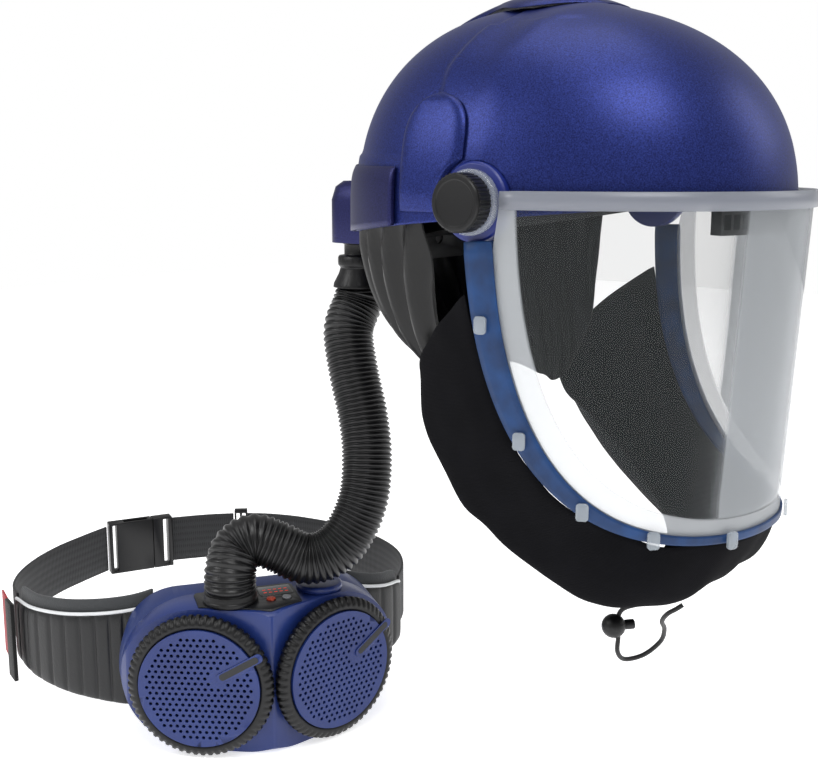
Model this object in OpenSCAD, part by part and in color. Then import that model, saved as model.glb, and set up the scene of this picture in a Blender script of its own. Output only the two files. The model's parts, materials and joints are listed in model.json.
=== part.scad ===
// Powered air respirator: a safety helmet with a lifting visor, a corrugated
// breathing hose, and a belt-worn blower with two filters.
// The origin lies midway between the visor pivots, on the pivot axis.
// +X is the wearer's left, -Y is forward and +Z is up.

/* [Helmet] */
// Outside width of the shell
shell_w = 224; // [205:1:245]
// Pivot axis to the front of the shell
shell_front = 131; // [122:1:150]
// Pivot axis to the rear of the shell
shell_rear = 141; // [130:1:160]
// Pivot axis to the crown of the shell
shell_h = 115.5; // [105:0.5:130]
// Wall of the shell
shell_wall = 3; // [2.5:0.1:4]
// Thickness of the foam liner
liner_t = 6; // [4:0.5:8]
// Height of the crest above the shell
crest_h = 4; // [3:0.5:8]

/* [Visor] */
// Side of the shell to the outside of the visor
visor_aside = 6; // [4.5:0.5:12]
// Front of the shell to the front of the visor
visor_ahead = 9; // [8:0.5:18]
// Depth of the visor below the pivot axis
visor_h = 181; // [160:1:205]
// Thickness of the clear lens
lens_t = 1.5; // [1.2:0.1:2]
// Width of the rubber seal at the sides
seal_w = 18; // [14:0.5:22]
// Height of the translucent strip along the top of the visor
strip_h = 10; // [8:0.5:12]
// Radius of the pivot rings
ring_r = 18; // [16:0.5:19]
// Radius of the clamping knobs
knob_r = 16; // [14:0.5:20]
// Length of the clamping knobs
knob_len = 11.5; // [9:0.5:16]

/* [Hose] */
// Outside diameter of the breathing hose
hose_d = 36; // [32:1:38]

/* [Blower] */
// Turn of the blower about the vertical axis
blower_turn = -33.7; // [-40:0.1:-25]
// Height of the blower housing
blower_h = 103; // [100:1:110]
// Width of the blower housing
blower_w = 196; // [190:1:206]
// Depth of the housing behind the filter centres
blower_back = 72; // [70:1:80]
// Radius of the knurled filter rims
rim_r = 51; // [44:0.5:51]
// Radius of the perforated filter covers
grille_r = 42; // [38:0.5:43]
// Diameter of the holes in the filter covers
hole_d = 2.6; // [2:0.1:3]
// Pitch of the holes in the filter covers
hole_pitch = 4.5; // [4:0.1:6]
// Angle that each filter is turned outwards
filter_splay = 23.3; // [20:0.1:25]
// Distance between the centres of the filter covers
filter_gap = 100; // [100:0.5:104]

/* [Belt] */
// Width of the webbing
web_w = 42; // [38:1:50]
// Thickness of the webbing
web_t = 2; // [1.5:0.1:3]
// Thickness of the comfort pads
pad_t = 11; // [8:0.5:14]
// Height of the comfort pads at the blower
pad_h = 92; // [80:1:98]
// Height of the comfort pads at the free end
pad_end_h = 56; // [50:1:70]

/* [Hidden] */
$fn = 48;

// Roundness of the shell and the visor: 2 is an ellipse, more is squarer
squareness = 2.2;
// Where the shell is widest, behind the pivot axis
wide_y = 22;
// Gap between pieces that are laid on each other, and on the domed shell
skin_gap = 0.1;
lay_gap = 0.4;
// Radial clearance of a turning fit
turn_gap = 0.06;
// Clearance round a piece that drops into a pocket
drop_gap = 0.4;

visor_w = shell_w + 2 * visor_aside;
visor_front = shell_front + visor_ahead;

// Pivot stack, measured along X from the middle of the helmet
boss_r = ring_r + 4;
boss_depth = 8.5;
boss_in = shell_w / 2 - boss_depth;
boss_out = shell_w / 2 + 0.8;
hub_r = 8;
ring_in = boss_out + 0.2;
ring_out = visor_w / 2 - 0.4;
hub_out = ring_out + 0.2;
knob_in = hub_out + 0.2;
knob_out = knob_in + knob_len;
stud_r = 4;

// Seal edge: the seal runs on the visor surface between two rounded U curves
edge_power = 2.4;
edge_reach = 125;
band_end = 5;
slot_depth = 5;

function flip(v) = v < 0 ? -1 : 1;
function root(v, p) = flip(v) * pow(abs(v), p);
function mix(a, b, t) = a + (b - a) * t;
function unit(v) = v / norm(v);

// Point on the shell: plan angle from the front, climb from 0 (widest level)
// to 90 (crown) or a depth in mm when negative, and an outward offset.
function shell_pt(a, s, g) =
    let (
        k = s > 0 ? pow(cos(s), 2 / squareness) : 1,
        z = s > 0 ? (shell_h + g) * pow(sin(s), 2 / squareness) : s,
        half = cos(a) > 0 ? shell_front + wide_y + g : shell_rear - wide_y + g
    )
    [
        (shell_w / 2 + g) * root(sin(a), 2 / squareness) * k,
        wide_y - half * root(cos(a), 2 / squareness) * k,
        z
    ];
// Climb angle of the shell at a height
function climb(z) = z <= 0 ? z : asin(pow(min(1, z / shell_h), squareness / 2));
// Shallow valley across the crown, between the front and the rear of the shell
valley_y = 10;
valley_depth = 2.2;
valley_width = 9;
function valley(p) =
    valley_depth * exp(-pow((p[1] - valley_y) / valley_width, 2))
    * min(1, max(0, (p[2] - 30) / 25));
function relief_pt(a, s, g) = let (p = shell_pt(a, s, g)) shell_pt(a, s, g - valley(p));
// Lower edge of the shell: low at the nape, high over the brow
rim_mid = -11;
rim_swing = 13;
function rim_z(a) = rim_mid + rim_swing * cos(a);

// Point on the visor surface at a plan angle, a height and an offset
visor_taper = 0.05;
function visor_pt(a, z, g) =
    let (half = visor_front + wide_y + g + visor_taper * min(0, z))
    [
        (visor_w / 2 + g + visor_taper * min(0, z)) * root(sin(a), 2 / squareness),
        wide_y - half * root(cos(a), 2 / squareness),
        z
    ];
// Plan angle on the visor at a distance in front of the pivot axis
function visor_angle(y) =
    acos(pow((wide_y - y) / (visor_front + wide_y), squareness / 2));
// U curve at turn t (0 at the pivot, 90 at the chin): plan angle and height
function edge_a(t, grow) =
    acos(pow(1 - pow(cos(t), 2) * (edge_reach + grow) / (visor_front + wide_y), squareness / 2));
function edge_z(t, grow) =
    -(visor_h + grow * band_end / seal_w)
    * pow(max(0, 1 - pow(cos(t), 2 * edge_power)), 1 / edge_power);
// Turn at which the curve passes a height
function edge_turn(z) = acos(pow(1 - pow(-z / visor_h, edge_power), 0.5 / edge_power));
// Point across the seal: u runs from 0 at the lens to seal_w at the cloth
function seal_pt(t, u, g, side) =
    visor_pt(side * edge_a(t, u), edge_z(t, u), g);

// Faces in clockwise order seen from outside; out > 0 when they run the other way
function faced(faces, out) =
    out < 0 ? faces : [for (f = faces) [for (k = [len(f) - 1 : -1 : 0]) f[k]]];

// Closed solid between an outer and an inner grid of the same size
module slab(outer, inner) {
    n = len(outer);
    m = len(outer[0]);
    k = n * m;
    skin = [for (i = [0 : n - 2], j = [0 : m - 2])
        [i * m + j, i * m + j + 1, (i + 1) * m + j + 1, (i + 1) * m + j]];
    back = [for (f = skin) [k + f[3], k + f[2], k + f[1], k + f[0]]];
    ends = [for (j = [0 : m - 2]) each [
        [j + 1, j, k + j, k + j + 1],
        [(n - 1) * m + j, (n - 1) * m + j + 1, k + (n - 1) * m + j + 1, k + (n - 1) * m + j]]];
    sides = [for (i = [0 : n - 2]) each [
        [i * m, (i + 1) * m, k + (i + 1) * m, k + i * m],
        [(i + 1) * m + m - 1, i * m + m - 1, k + i * m + m - 1, k + (i + 1) * m + m - 1]]];
    i = floor(n / 2) - 1;
    j = floor(m / 2) - 1;
    a = outer[i][j];
    out = cross(outer[i][j + 1] - a, outer[i + 1][j] - a) * (a - inner[i][j]);
    polyhedron(
        points = concat([for (r = outer) each r], [for (r = inner) each r]),
        faces = faced(concat(skin, back, ends, sides), out), convexity = 8);
}

// Closed bowl: rows of rings from the rim to the crown, outside and inside
module bowl(outer, inner) {
    n = len(outer);
    m = len(outer[0]);
    k = n * m;
    skin = [for (i = [0 : n - 2], j = [0 : m - 1])
        [i * m + j, i * m + (j + 1) % m, (i + 1) * m + (j + 1) % m, (i + 1) * m + j]];
    back = [for (f = skin) [k + f[3], k + f[2], k + f[1], k + f[0]]];
    lip = [for (j = [0 : m - 1]) [(j + 1) % m, j, k + j, k + (j + 1) % m]];
    cap = [[for (j = [0 : m - 1]) (n - 1) * m + j]];
    dish = [[for (j = [m - 1 : -1 : 0]) k + (n - 1) * m + j]];
    polyhedron(
        points = concat([for (r = outer) each r], [for (r = inner) each r]),
        faces = faced(concat(skin, back, lip, cap, dish), 1), convexity = 8);
}

// Closed solid through a row of section loops; closed = true joins the ends
module loft(loops, closed = false) {
    n = len(loops);
    m = len(loops[0]);
    last = closed ? n - 1 : n - 2;
    skin = [for (i = [0 : last], j = [0 : m - 1])
        [i * m + j, i * m + (j + 1) % m, ((i + 1) % n) * m + (j + 1) % m, ((i + 1) % n) * m + j]];
    caps = closed ? [] : [
        [for (j = [m - 1 : -1 : 0]) j],
        [for (j = [0 : m - 1]) (n - 1) * m + j]];
    a = loops[0];
    out = cross(a[1] - a[0], a[2] - a[0]) * (loops[1][0] - a[0]);
    polyhedron(
        points = [for (l = loops) each l],
        faces = faced(concat(skin, caps), out), convexity = 8);
}

// Smooth curve through hand-set points (Catmull-Rom), count points in all
function spline_at(p, x) =
    let (
        n = len(p), i = min(n - 2, floor(x)), f = x - i,
        a = p[max(0, i - 1)], b = p[i], c = p[i + 1], d = p[min(n - 1, i + 2)]
    )
    0.5 * (2 * b + (c - a) * f + (2 * a - 5 * b + 4 * c - d) * f * f
        + (3 * b - a - 3 * c + d) * f * f * f);
function spline(p, count) =
    [for (i = [0 : count - 1]) spline_at(p, (len(p) - 1) * i / (count - 1))];
// Direction of a path at point i
function heading(p, i) = unit(p[min(len(p) - 1, i + 1)] - p[max(0, i - 1)]);

// Round tube along a path, with rings square to it
module tube(path, r, sides = 12) {
    loft([for (i = [0 : len(path) - 1])
        let (
            t = heading(path, i),
            f = unit(cross([0.8, 0.6, 0], t)),
            h = cross(t, f)
        )
        [for (j = [0 : sides - 1]) path[i] + r * (cos(360 * j / sides) * f
            + sin(360 * j / sides) * h)]]);
}

// Band of webbing standing on edge along a plan path
module band(path, w, t, z0 = 0) {
    loft([for (i = [0 : len(path) - 1])
        let (d = heading(path, i), s = [d[1], -d[0], 0] * t / 2, c = [path[i][0], path[i][1], z0])
        [c + s - [0, 0, w / 2], c - s - [0, 0, w / 2], c - s + [0, 0, w / 2], c + s + [0, 0, w / 2]]]);
}

// Both sides of the helmet
module both_sides() {
    children();
    mirror([1, 0, 0]) children();
}
// Solid of revolution about the pivot axis: profile holds [radius, x]
module about_pivot(profile, fn = 64) {
    rotate([0, 90, 0]) rotate_extrude($fn = fn) polygon(profile);
}

// ---------------------------------------------------------------- helmet

shell_cols = 44;
shell_rows = [for (i = [0 : 10]) mix(6, 87, i / 10)];
function shell_row(s, g) = [for (j = [0 : shell_cols - 1]) relief_pt(360 * j / shell_cols, s, g)];
function rim_row(f, g) = [for (j = [0 : shell_cols - 1])
    let (a = 360 * j / shell_cols) shell_pt(a, climb(mix(rim_z(a), 8, f)), g)];
function shell_skin(g) = concat(
    [rim_row(0, g), rim_row(0.5, g)],
    [for (s = shell_rows) shell_row(s, g)]);

// Air port through the back of the shell
port_w = 34;
port_h = 14;
port_z = -2;

module helmet_shell() {
    color("#2c3c92") difference() {
        bowl(shell_skin(0), shell_skin(-shell_wall));
        rotate([0, 90, 0]) cylinder(h = shell_w + 20, r = boss_r + 0.2, center = true);
        translate([0, shell_rear, port_z]) cube([port_w + 1, 30, port_h + 1], center = true);
    }
}

// Point on the crest: distance x from the midline, climb q from the nape
// (0) over the crown (90) to the brow
function crest_pt(x, q, g) =
    let (m = pow(1 - pow(abs(x) / (shell_w / 2 + g), squareness), 1 / squareness))
    [
        x,
        wide_y + (cos(q) > 0 ? shell_rear - wide_y + g : shell_front + wide_y + g)
            * root(cos(q), 2 / squareness) * m,
        (shell_h + g) * pow(sin(q), 2 / squareness) * m
    ];
crest_start = 12;
crest_stop = 106;
crest_half = 13;
crest_flare = 30;
crest_crown = 91;
function crest_width(q) =
    crest_half + crest_flare * exp(-pow((q - crest_crown) / 9, 2));
// Across the crest: share of the half width, share of the height
crest_form = [
    [-1, 0.1], [-0.88, 0.8], [-0.66, 0.95], [-0.44, 1], [-0.2, 1],
    [0.2, 1], [0.44, 1], [0.66, 0.95], [0.88, 0.8], [1, 0.1]];
// The front end of the crest runs out to the shell
function crest_run(q) = min(1, 0.2 + (crest_stop - q) / 7);

module crest_cover() {
    qs = [for (i = [0 : 24]) mix(crest_start, crest_stop, i / 24)];
    color("#26347f") slab(
        [for (q = qs) [for (f = crest_form)
            crest_pt(f[0] * crest_width(q), q, lay_gap + crest_h * f[1] * crest_run(q))]],
        [for (q = qs) [for (f = crest_form) crest_pt(f[0] * crest_width(q), q, lay_gap)]]);
}

band_rise = 3;
band_from = 105;
// Top edge of the rear band, swept up towards the crest
function band_top(a) = 19 + 4 * pow((180 - abs(180 - a) - band_from) / (180 - band_from), 2);
function band_pt(a, f, g) = shell_pt(a, climb(mix(rim_z(a), band_top(a), f)), g);

module rear_band() {
    as = [for (i = [0 : 24]) mix(band_from, 360 - band_from, i / 24)];
    form = [[0, band_rise], [0.4, band_rise], [0.85, band_rise], [1, 0.4]];
    color("#3b3b78") difference() {
        slab(
            [for (f = form) [for (a = as) band_pt(a, f[0], lay_gap + f[1])]],
            [for (f = form) [for (a = as) band_pt(a, f[0], lay_gap)]]);
        translate([0, shell_rear, port_z]) cube([port_w + 1, 30, port_h + 1], center = true);
    }
}

// Point on the side of the shell at a depth y and a height z
function side_pt(y, z, g) =
    let (half = (y < wide_y ? shell_front + wide_y : shell_rear - wide_y) + g)
    [
        (shell_w / 2 + g) * pow(1 - pow(abs(y - wide_y) / half, squareness)
            - pow(max(0, z) / (shell_h + g), squareness), 1 / squareness),
        y, z
    ];
ear_mid = 30;
ear_half = 22;
ear_top = 60;
ear_low = -6;
ear_rise = 3.2;
function ear_spread(z) =
    let (r = ear_half, over = z - (ear_top - r)) over <= 0 ? r : sqrt(max(0.5, r * r - over * over));
// The front edge steps back round the pivot boss
function ear_front(z) =
    max(ear_mid - ear_spread(z), sqrt(max(0, pow(boss_r + 1, 2) - z * z)));

module ear_covers() {
    zs = [ear_low, 2, 10, 17, 23, 30, 38, 46, 52, 57, ear_top];
    form = [[0, 0.25], [0.08, 1], [0.35, 0.9], [0.65, 0.9], [0.94, 1], [1, 0.25]];
    function grid(k) = [for (z = zs) [for (f = form)
        let (rim = z == ear_top || z == ear_low ? 0.25 : f[1])
        side_pt(mix(ear_front(z), ear_mid + ear_spread(z), f[0]), z, lay_gap + k * ear_rise * rim)]];
    color("#323a80") both_sides() slab(grid(1), grid(0));
}

module pivot_seats() {
    color("#343f9c") both_sides() about_pivot([
        [stud_r + 0.1, boss_in], [boss_r, boss_in], [boss_r, boss_out - 1.2],
        [boss_r - 1.2, boss_out], [hub_r, boss_out], [hub_r, hub_out], [stud_r + 0.1, hub_out]]);
}

module pivot_studs() {
    head = 3.5;
    color("silver") both_sides() about_pivot([
        [0, boss_in - head], [hub_r, boss_in - head], [hub_r, boss_in],
        [stud_r, boss_in], [stud_r, knob_out - 3], [0, knob_out - 3]]);
}

liner_gap = 1.3;
liner_from = boss_r + 2;
module impact_liner() {
    rows = [for (i = [0 : 6]) mix(climb(liner_from), 86, i / 6)];
    cols = 28;
    function skin(g) = [for (s = rows) [for (j = [0 : cols - 1]) relief_pt(360 * j / cols, s, g)]];
    top = -(shell_wall + liner_gap);
    color("#2a2a2c") bowl(skin(top), skin(top - liner_t));
}

// Flat duct under the liner, from the back of the helmet to the brow
duct_t = 6;
duct_half = 18;
duct_top = -(shell_wall + liner_gap + liner_t + valley_depth + liner_gap);
function duct_pt(x, q, g) = q > 0 ? crest_pt(x, q, g) : crest_pt(x, 0, g) + [0, 0, q];
module air_duct() {
    qs = concat([port_z - port_h / 2, 0], [for (i = [1 : 15]) mix(0, 174, i / 15)]);
    xs = [-1, -0.9, 0, 0.9, 1];
    color("#1c1d20") slab(
        [for (q = qs) [for (x = xs) duct_pt(x * duct_half, q, duct_top)]],
        [for (q = qs) [for (x = xs) duct_pt(x * duct_half, q, duct_top - duct_t)]]);
}

// Louvred bar that spreads the air behind the visor
vent_half = 24;
vent_bars = 15;
module brow_vent() {
    function rows(z0, z1, a0, a1, n, g) =
        [for (z = [z0, z1]) [for (i = [0 : n]) shell_pt(mix(a0, a1, i / n), z, g)]];
    front = -(shell_wall + 2);
    module bar(z0, z1, a0, a1, n)
        slab(rows(z0, z1, a0, a1, n, front), rows(z0, z1, a0, a1, n, front - 8));
    color("#17181b") {
        bar(-6, 0, -vent_half, vent_half, 8);
        bar(-17, -14, -vent_half, vent_half, 8);
        for (i = [0 : vent_bars - 1]) {
            a = mix(-vent_half, vent_half - 1, i / (vent_bars - 1));
            bar(-14, -6, a, a + 1, 1);
        }
    }
}

// Headband: an oval strap that drops towards the nape
band_half_w = 77;
band_half_l = 98;
band_back = 5;
headband_h = 26;
headband_t = 2;
function headband_pt(a, g, up) =
    [(band_half_w + g) * sin(a), band_back - (band_half_l + g) * cos(a), 2 + 16 * cos(a) + up];
module headband() {
    color("#1b1c1e") loft([for (i = [0 : 47]) let (a = 7.5 * i) [
        headband_pt(a, 0, -headband_h / 2), headband_pt(a, 0, headband_h / 2),
        headband_pt(a, headband_t, headband_h / 2), headband_pt(a, headband_t, -headband_h / 2)]],
        closed = true);
}
module brow_pad() {
    h = 15;
    color("#242427") loft([for (i = [0 : 16]) let (a = mix(-47, 47, i / 16)) [
        headband_pt(a, -7, -h), headband_pt(a, -7, h), headband_pt(a, -0.2, h), headband_pt(a, -0.2, -h)]]);
}
crown_strap_w = 18;
module crown_strap(turn, rise) {
    reach = norm([band_half_w * cos(turn), band_half_l * sin(turn)]) - 4;
    dir = [cos(turn), sin(turn), 0];
    side = [-sin(turn), cos(turn), 0] * crown_strap_w / 2;
    loft([for (i = [0 : 16])
        let (
            t = mix(4, 176, i / 16),
            c = [0, band_back, 18] + dir * reach * cos(t) + [0, 0, rise * sin(t)],
            n = unit(dir * cos(t) + [0, 0, sin(t)]) * 0.75
        )
        [c - side - n, c + side - n, c + side + n, c - side + n]]);
}
module crown_straps() {
    color("#1f2022") {
        crown_strap(38, 70);
        crown_strap(-38, 73);
    }
}

ratchet_y = band_back + band_half_l + headband_t + 0.2;
ratchet_z = -14;
ratchet_d = 10;
ratchet_shaft_r = 4;
ratchet_knob_r = 17;
module at_ratchet(depth) {
    translate([0, ratchet_y + depth, ratchet_z - 14]) rotate([-90, 0, 0]) children();
}
module ratchet_housing() {
    color("#18191b") at_ratchet(0) difference() {
        linear_extrude(ratchet_d) offset(r = 8) square([50, 12], center = true);
        translate([0, 0, -1]) cylinder(h = ratchet_d + 2, r = ratchet_shaft_r + turn_gap);
    }
}
module ratchet_knob() {
    color("#101113") at_ratchet(0) {
        translate([0, 0, 1]) cylinder(h = ratchet_d, r = ratchet_shaft_r);
        translate([0, 0, ratchet_d + 0.4]) linear_extrude(11) difference() {
            circle(r = ratchet_knob_r);
            for (i = [0 : 11]) rotate(30 * i) translate([ratchet_knob_r + 1.2, 0]) circle(r = 3, $fn = 16);
        }
    }
}

// ---------------------------------------------------------------- air inlet

inlet_y = 176;
inlet_low = -34;
inlet_high = 9;
inlet_face = shell_rear + band_rise + lay_gap + 2 * skin_gap;
inlet_half = 20;
neck_r = 12.5;
neck_bore = 9.5;
module inlet_outline(shrink) {
    offset(r = 12) offset(delta = -12 - shrink)
        translate([-inlet_half, inlet_face - 20])
            square([2 * inlet_half, inlet_y + 15 - inlet_face + 20]);
}
module inlet_cover() {
    nozzle_y = shell_rear + duct_top + 0.6;
    color("#33357a") difference() {
        union() {
            difference() {
                hull() {
                    translate([0, 0, inlet_low]) linear_extrude(30) inlet_outline(0);
                    translate([0, 0, inlet_high - 6]) linear_extrude(2) inlet_outline(2);
                    translate([0, 0, inlet_high - 1]) linear_extrude(1) inlet_outline(6);
                }
                translate([-50, inlet_face - 60, -60]) cube([100, 60, 120]);
            }
            translate([-port_w / 2, nozzle_y, port_z - port_h / 2])
                cube([port_w, inlet_face - nozzle_y + 1, port_h]);
        }
        translate([-port_w / 2 + 2, nozzle_y - 1, port_z - port_h / 2 + 2])
            cube([port_w - 4, inlet_y - nozzle_y, port_h - 4]);
        translate([0, inlet_y, inlet_low - 1]) cylinder(h = inlet_high - inlet_low - 8, r = neck_r + 0.05);
    }
}

bell_z = -66;
module inlet_bell() {
    color("#141416") translate([0, inlet_y, 0]) rotate_extrude($fn = 64) polygon([
        [neck_bore, inlet_low + 22], [neck_r, inlet_low + 22], [neck_r, inlet_low - 1],
        [11, inlet_low - 1.5], [11, inlet_low - 9], [14.8, inlet_low - 9.5], [15.5, inlet_low - 11],
        [15.5, inlet_low - 16], [13.8, inlet_low - 18], [15, inlet_low - 22], [18.6, bell_z + 3],
        [19.2, bell_z], [neck_bore + 5, bell_z], [neck_bore, bell_z + 10]]);
}

// ---------------------------------------------------------------- blower place

// Middle between the filter covers; -Y of the blower faces forward
blower_x = -102;
blower_y = 172;
blower_top = -277.5;
blower_z = blower_top - blower_h / 2;
module at_blower() {
    translate([blower_x, blower_y, blower_z]) rotate([0, 0, blower_turn]) children();
}
function from_blower(p) = [
    blower_x + p[0] * cos(blower_turn) - p[1] * sin(blower_turn),
    blower_y + p[0] * sin(blower_turn) + p[1] * cos(blower_turn),
    blower_z + p[2]];
spout_x = -23;
spout_y = 22;
spout_h = 8;
spout_top = blower_h / 2 + spout_h;

// Hose route from the bell to the spout
hose_route = [
    [0, inlet_y, bell_z], [0, inlet_y, -71], [-3, 177, -80], [-12, 177, -97], [-16, 169, -125], [-18, 159, -155],
    [-22, 152, -182], [-29, 149, -210], [-39, 152, -232], [-51, 159, -247], [-65, 172, -252],
    [-78, 187, -243], [-89, 199, -237], [-99, 206, -243], [-107, 204, -254], from_blower([spout_x, spout_y, spout_top + 5]),
    from_blower([spout_x, spout_y, spout_top])];
module hose() {
    color("#0e0f11") tube(spline(hose_route, 57), hose_d / 2);
}

// ---------------------------------------------------------------- visor

lens_turns = [for (i = [0 : 12]) mix(6, 78, i / 12)];
// The lens stops short of the pivot rings
lens_stop = visor_angle(-(ring_r + 1.4));
function lens_row(t, g) =
    let (z = edge_z(t, slot_depth), a = min(edge_a(t, slot_depth), z > -ring_r - 2 ? lens_stop : 180))
    [for (j = [0 : 24]) visor_pt(a * (j / 12 - 1), z, g)];
function lens_top(z, g) = [for (j = [0 : 24]) visor_pt(lens_stop * (j / 12 - 1), z, g)];
function lens_skin(g) = concat(
    [lens_top(strip_top - 0.5, g), lens_top(-1, g)],
    [for (t = lens_turns) lens_row(t, g)]);
strip_top = strip_h - 3.5;

module visor_lens() {
    color([0.85, 0.9, 0.95, 0.35]) slab(lens_skin(0), lens_skin(-lens_t));
}
strip_t = 2.4;
module top_strip() {
    function rows(g) = [for (z = [strip_top - strip_h, strip_top])
        [for (j = [0 : 24]) visor_pt(lens_stop * (j / 12 - 1), z, g)]];
    color([0.6, 0.62, 0.66, 0.8]) slab(rows(skin_gap + strip_t), rows(skin_gap));
}
module pivot_rings() {
    color([0.9, 0.93, 0.95, 0.6]) both_sides() about_pivot([
        [hub_r + turn_gap, ring_in], [ring_r, ring_in], [ring_r, ring_out - 1],
        [ring_r - 1, ring_out], [hub_r + turn_gap, ring_out]]);
}

seal_drop = 2.2;
seal_start = edge_turn(-(ring_r + seal_drop));
seal_out = 1.7;
seal_in = -(lens_t + 1.4);
grip_gap = 0.3;
// Section of the seal: a channel that grips the edge of the lens
seal_form = [
    [0, grip_gap], [0, seal_out], [seal_w, seal_out], [seal_w, seal_in],
    [0, seal_in], [0, -lens_t - grip_gap], [slot_depth + 1, -lens_t - grip_gap], [slot_depth + 1, grip_gap]];
seal_steps = 20;
module seal_frame() {
    color("#123f85") loft([for (i = [-seal_steps : seal_steps])
        let (t = mix(90, seal_start, pow(abs(i) / seal_steps, 1.15)))
        [for (f = seal_form) seal_pt(t, f[0], f[1], flip(i + 0.5))]]);
}

clip_turns = [11, 27, 43, 58, 76];
clip_w = 7;
clip_l = 10;
module seal_clip(t) {
    c = seal_pt(t, seal_w * 0.62, seal_out + 0.8, 1);
    e = seal_pt(t, seal_w * 0.62, seal_out + 1.8, 1);
    n = e - c;
    translate(c) rotate([0, 0, atan2(n[1], n[0])]) rotate([0, 90, 0]) difference() {
        linear_extrude(2.2) offset(r = 2) square([clip_l - 4, clip_w - 4], center = true);
        translate([0, 0, 1.2]) linear_extrude(2) offset(r = 1.5) square([clip_l - 7, clip_w - 7], center = true);
    }
}
module seal_clips() {
    color([0.85, 0.87, 0.9, 0.7]) both_sides() for (t = clip_turns) seal_clip(t);
}

// Neck opening: a tilted oval, low under the chin and high at the nape
function neck_pt(b, g) =
    [(68 + g) * sin(b), 3 - (67 + g) * cos(b), -166 - (56 + g) * cos(b)];
function curve3(a, b, c, f) = pow(1 - f, 2) * a + 2 * f * (1 - f) * b + f * f * c;
cloth_t = 1.6;
neck_turn = 122;
neck_steps = 16;
bag_aside = 23;
bag_low = -228;
bag_half = shell_w / 2 - bag_aside;
// Row of the neck seal from the rubber edge (f = 0) to the neck (f = 1)
function neck_row(i, g) =
    let (
        s = flip(i + 0.5), t = mix(90, seal_start + 5, abs(i) / neck_steps),
        a = seal_pt(t, seal_w + 1, -0.8 + g, s),
        c = neck_pt(s * neck_turn * abs(i) / neck_steps, g),
        k = abs(i) / neck_steps,
        hang = bag_low + 128 * pow(max(0, (k - 0.3) / 0.7), 1.6) + 11 * pow(max(0, 1 - 4 * k), 2),
        bulge = [
            s * (bag_half + 0.6 * g) * (sin(90 * pow(k, 0.6)) + 0.08 * sin(180 * k)),
            -25.5 - (79.5 + 0.6 * g) * cos(180 * k),
            hang - 0.8 * g],
        b = 2 * bulge - (a + c) / 2
    )
    [for (j = [0 : 9]) curve3(a, b, c, j / 9)];
module neck_seal() {
    color("#0c0c0e") slab(
        [for (i = [-neck_steps : neck_steps]) neck_row(i, 0)],
        [for (i = [-neck_steps : neck_steps]) neck_row(i, -cloth_t)]);
}

cape_from = 97;
cape_steps = 14;
cape_gap = 5;
// Row of the rear cape from the rim of the shell to the neck
function cape_row(i, g) =
    let (
        k = i / cape_steps, a = mix(cape_from, 360 - cape_from, k),
        top = shell_pt(a, min(-4, rim_z(a) + 3), -shell_wall - 1.2 + g),
        b = mix(neck_turn + 6, 354 - neck_turn, k),
        low = neck_pt(b, g - cape_gap) + [0, 0, 8],
        mid = [top[0] * 0.93, wide_y + (top[1] - wide_y) * 0.93, low[2] + 14]
    )
    [for (j = [0 : 7]) curve3(top, mid, low, j / 7)];
module rear_cape() {
    color("#15151a") slab(
        [for (i = [0 : cape_steps]) cape_row(i, 0)],
        [for (i = [0 : cape_steps]) cape_row(i, -cloth_t)]);
}

// Cord lock under the chin
lock_at = [-44.5, -58, -250];
lock_r = 7.2;
plunger_r = 3;
plunger_travel = 4;
lock_turn = -38;
module at_lock() {
    translate(lock_at) rotate([0, 0, lock_turn]) children();
}
cord_r = 1.4;
lock_bore = plunger_r + 0.15;
cord_room = 0.3;
module cord_lock_body() {
    arc = [for (a = [0 : 15 : 165]) lock_r * [sin(a), cos(a)]];
    mouth = [for (p = arc) if (p[1] < lock_r * cos(30)) p];
    color("#131315") at_lock() difference() {
        rotate([0, 90, 0]) rotate_extrude() polygon(concat(
            [[0, -1.5], [lock_bore, -1.5], [lock_bore, sqrt(lock_r * lock_r - lock_bore * lock_bore)]],
            mouth, [[0, -lock_r]]));
        translate([3.2, 0, -lock_r]) cylinder(h = 2 * lock_r, r = cord_r + cord_room);
    }
}
module cord_lock_plunger() {
    color("#1c1c1f") at_lock() difference() {
        translate([plunger_travel - 1.3, 0, 0]) rotate([0, 90, 0]) cylinder(h = 10, r = plunger_r);
        translate([3.2 - cord_r - cord_room, -cord_r - cord_room, -5])
            cube([plunger_travel + 2 * (cord_r + cord_room), 2 * (cord_r + cord_room), 10]);
    }
}
drawcord_route = [
    [-35, -97, -230.4], [-37, -94, -233], [-38, -89, -237], [-34, -84, -244], [-26, -82, -252],
    [-22, -78, -262], [-27, -70, -271], [-36, -62, -273], [-42, -60, -267], [-42, -60, -258],
    [-42, -60, -250], [-42, -60, -243], [-42, -64, -238], [-40, -73, -234], [-39, -81, -231]];
module drawcord() {
    color("#0d0d0f") tube(spline(drawcord_route, 70), cord_r, 8);
}

knob_ribs = 36;
module knob() {
    r = stud_r + turn_gap;
    core = knob_r - 0.7;
    about_pivot([
        [r, knob_in], [core, knob_in], [core, knob_out - 0.8], [core - 0.8, knob_out],
        [knob_r - 3.4, knob_out], [knob_r - 4, knob_out - 0.5], [0, knob_out - 0.3],
        [0, knob_out - 2.8], [r, knob_out - 2.8]]);
    translate([knob_in, 0, 0]) rotate([0, 90, 0]) linear_extrude(knob_out - knob_in - 1.6) difference() {
        circle(r = knob_r, $fn = 96);
        circle(r = knob_r - 3);
        for (i = [0 : knob_ribs - 1]) rotate(360 * i / knob_ribs)
            translate([knob_r + 0.3, 0]) circle(r = 0.8, $fn = 12);
    }
}
module knob_left() { color("#121213") knob(); }
module knob_right() { color("#121213") mirror([1, 0, 0]) knob(); }

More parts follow.
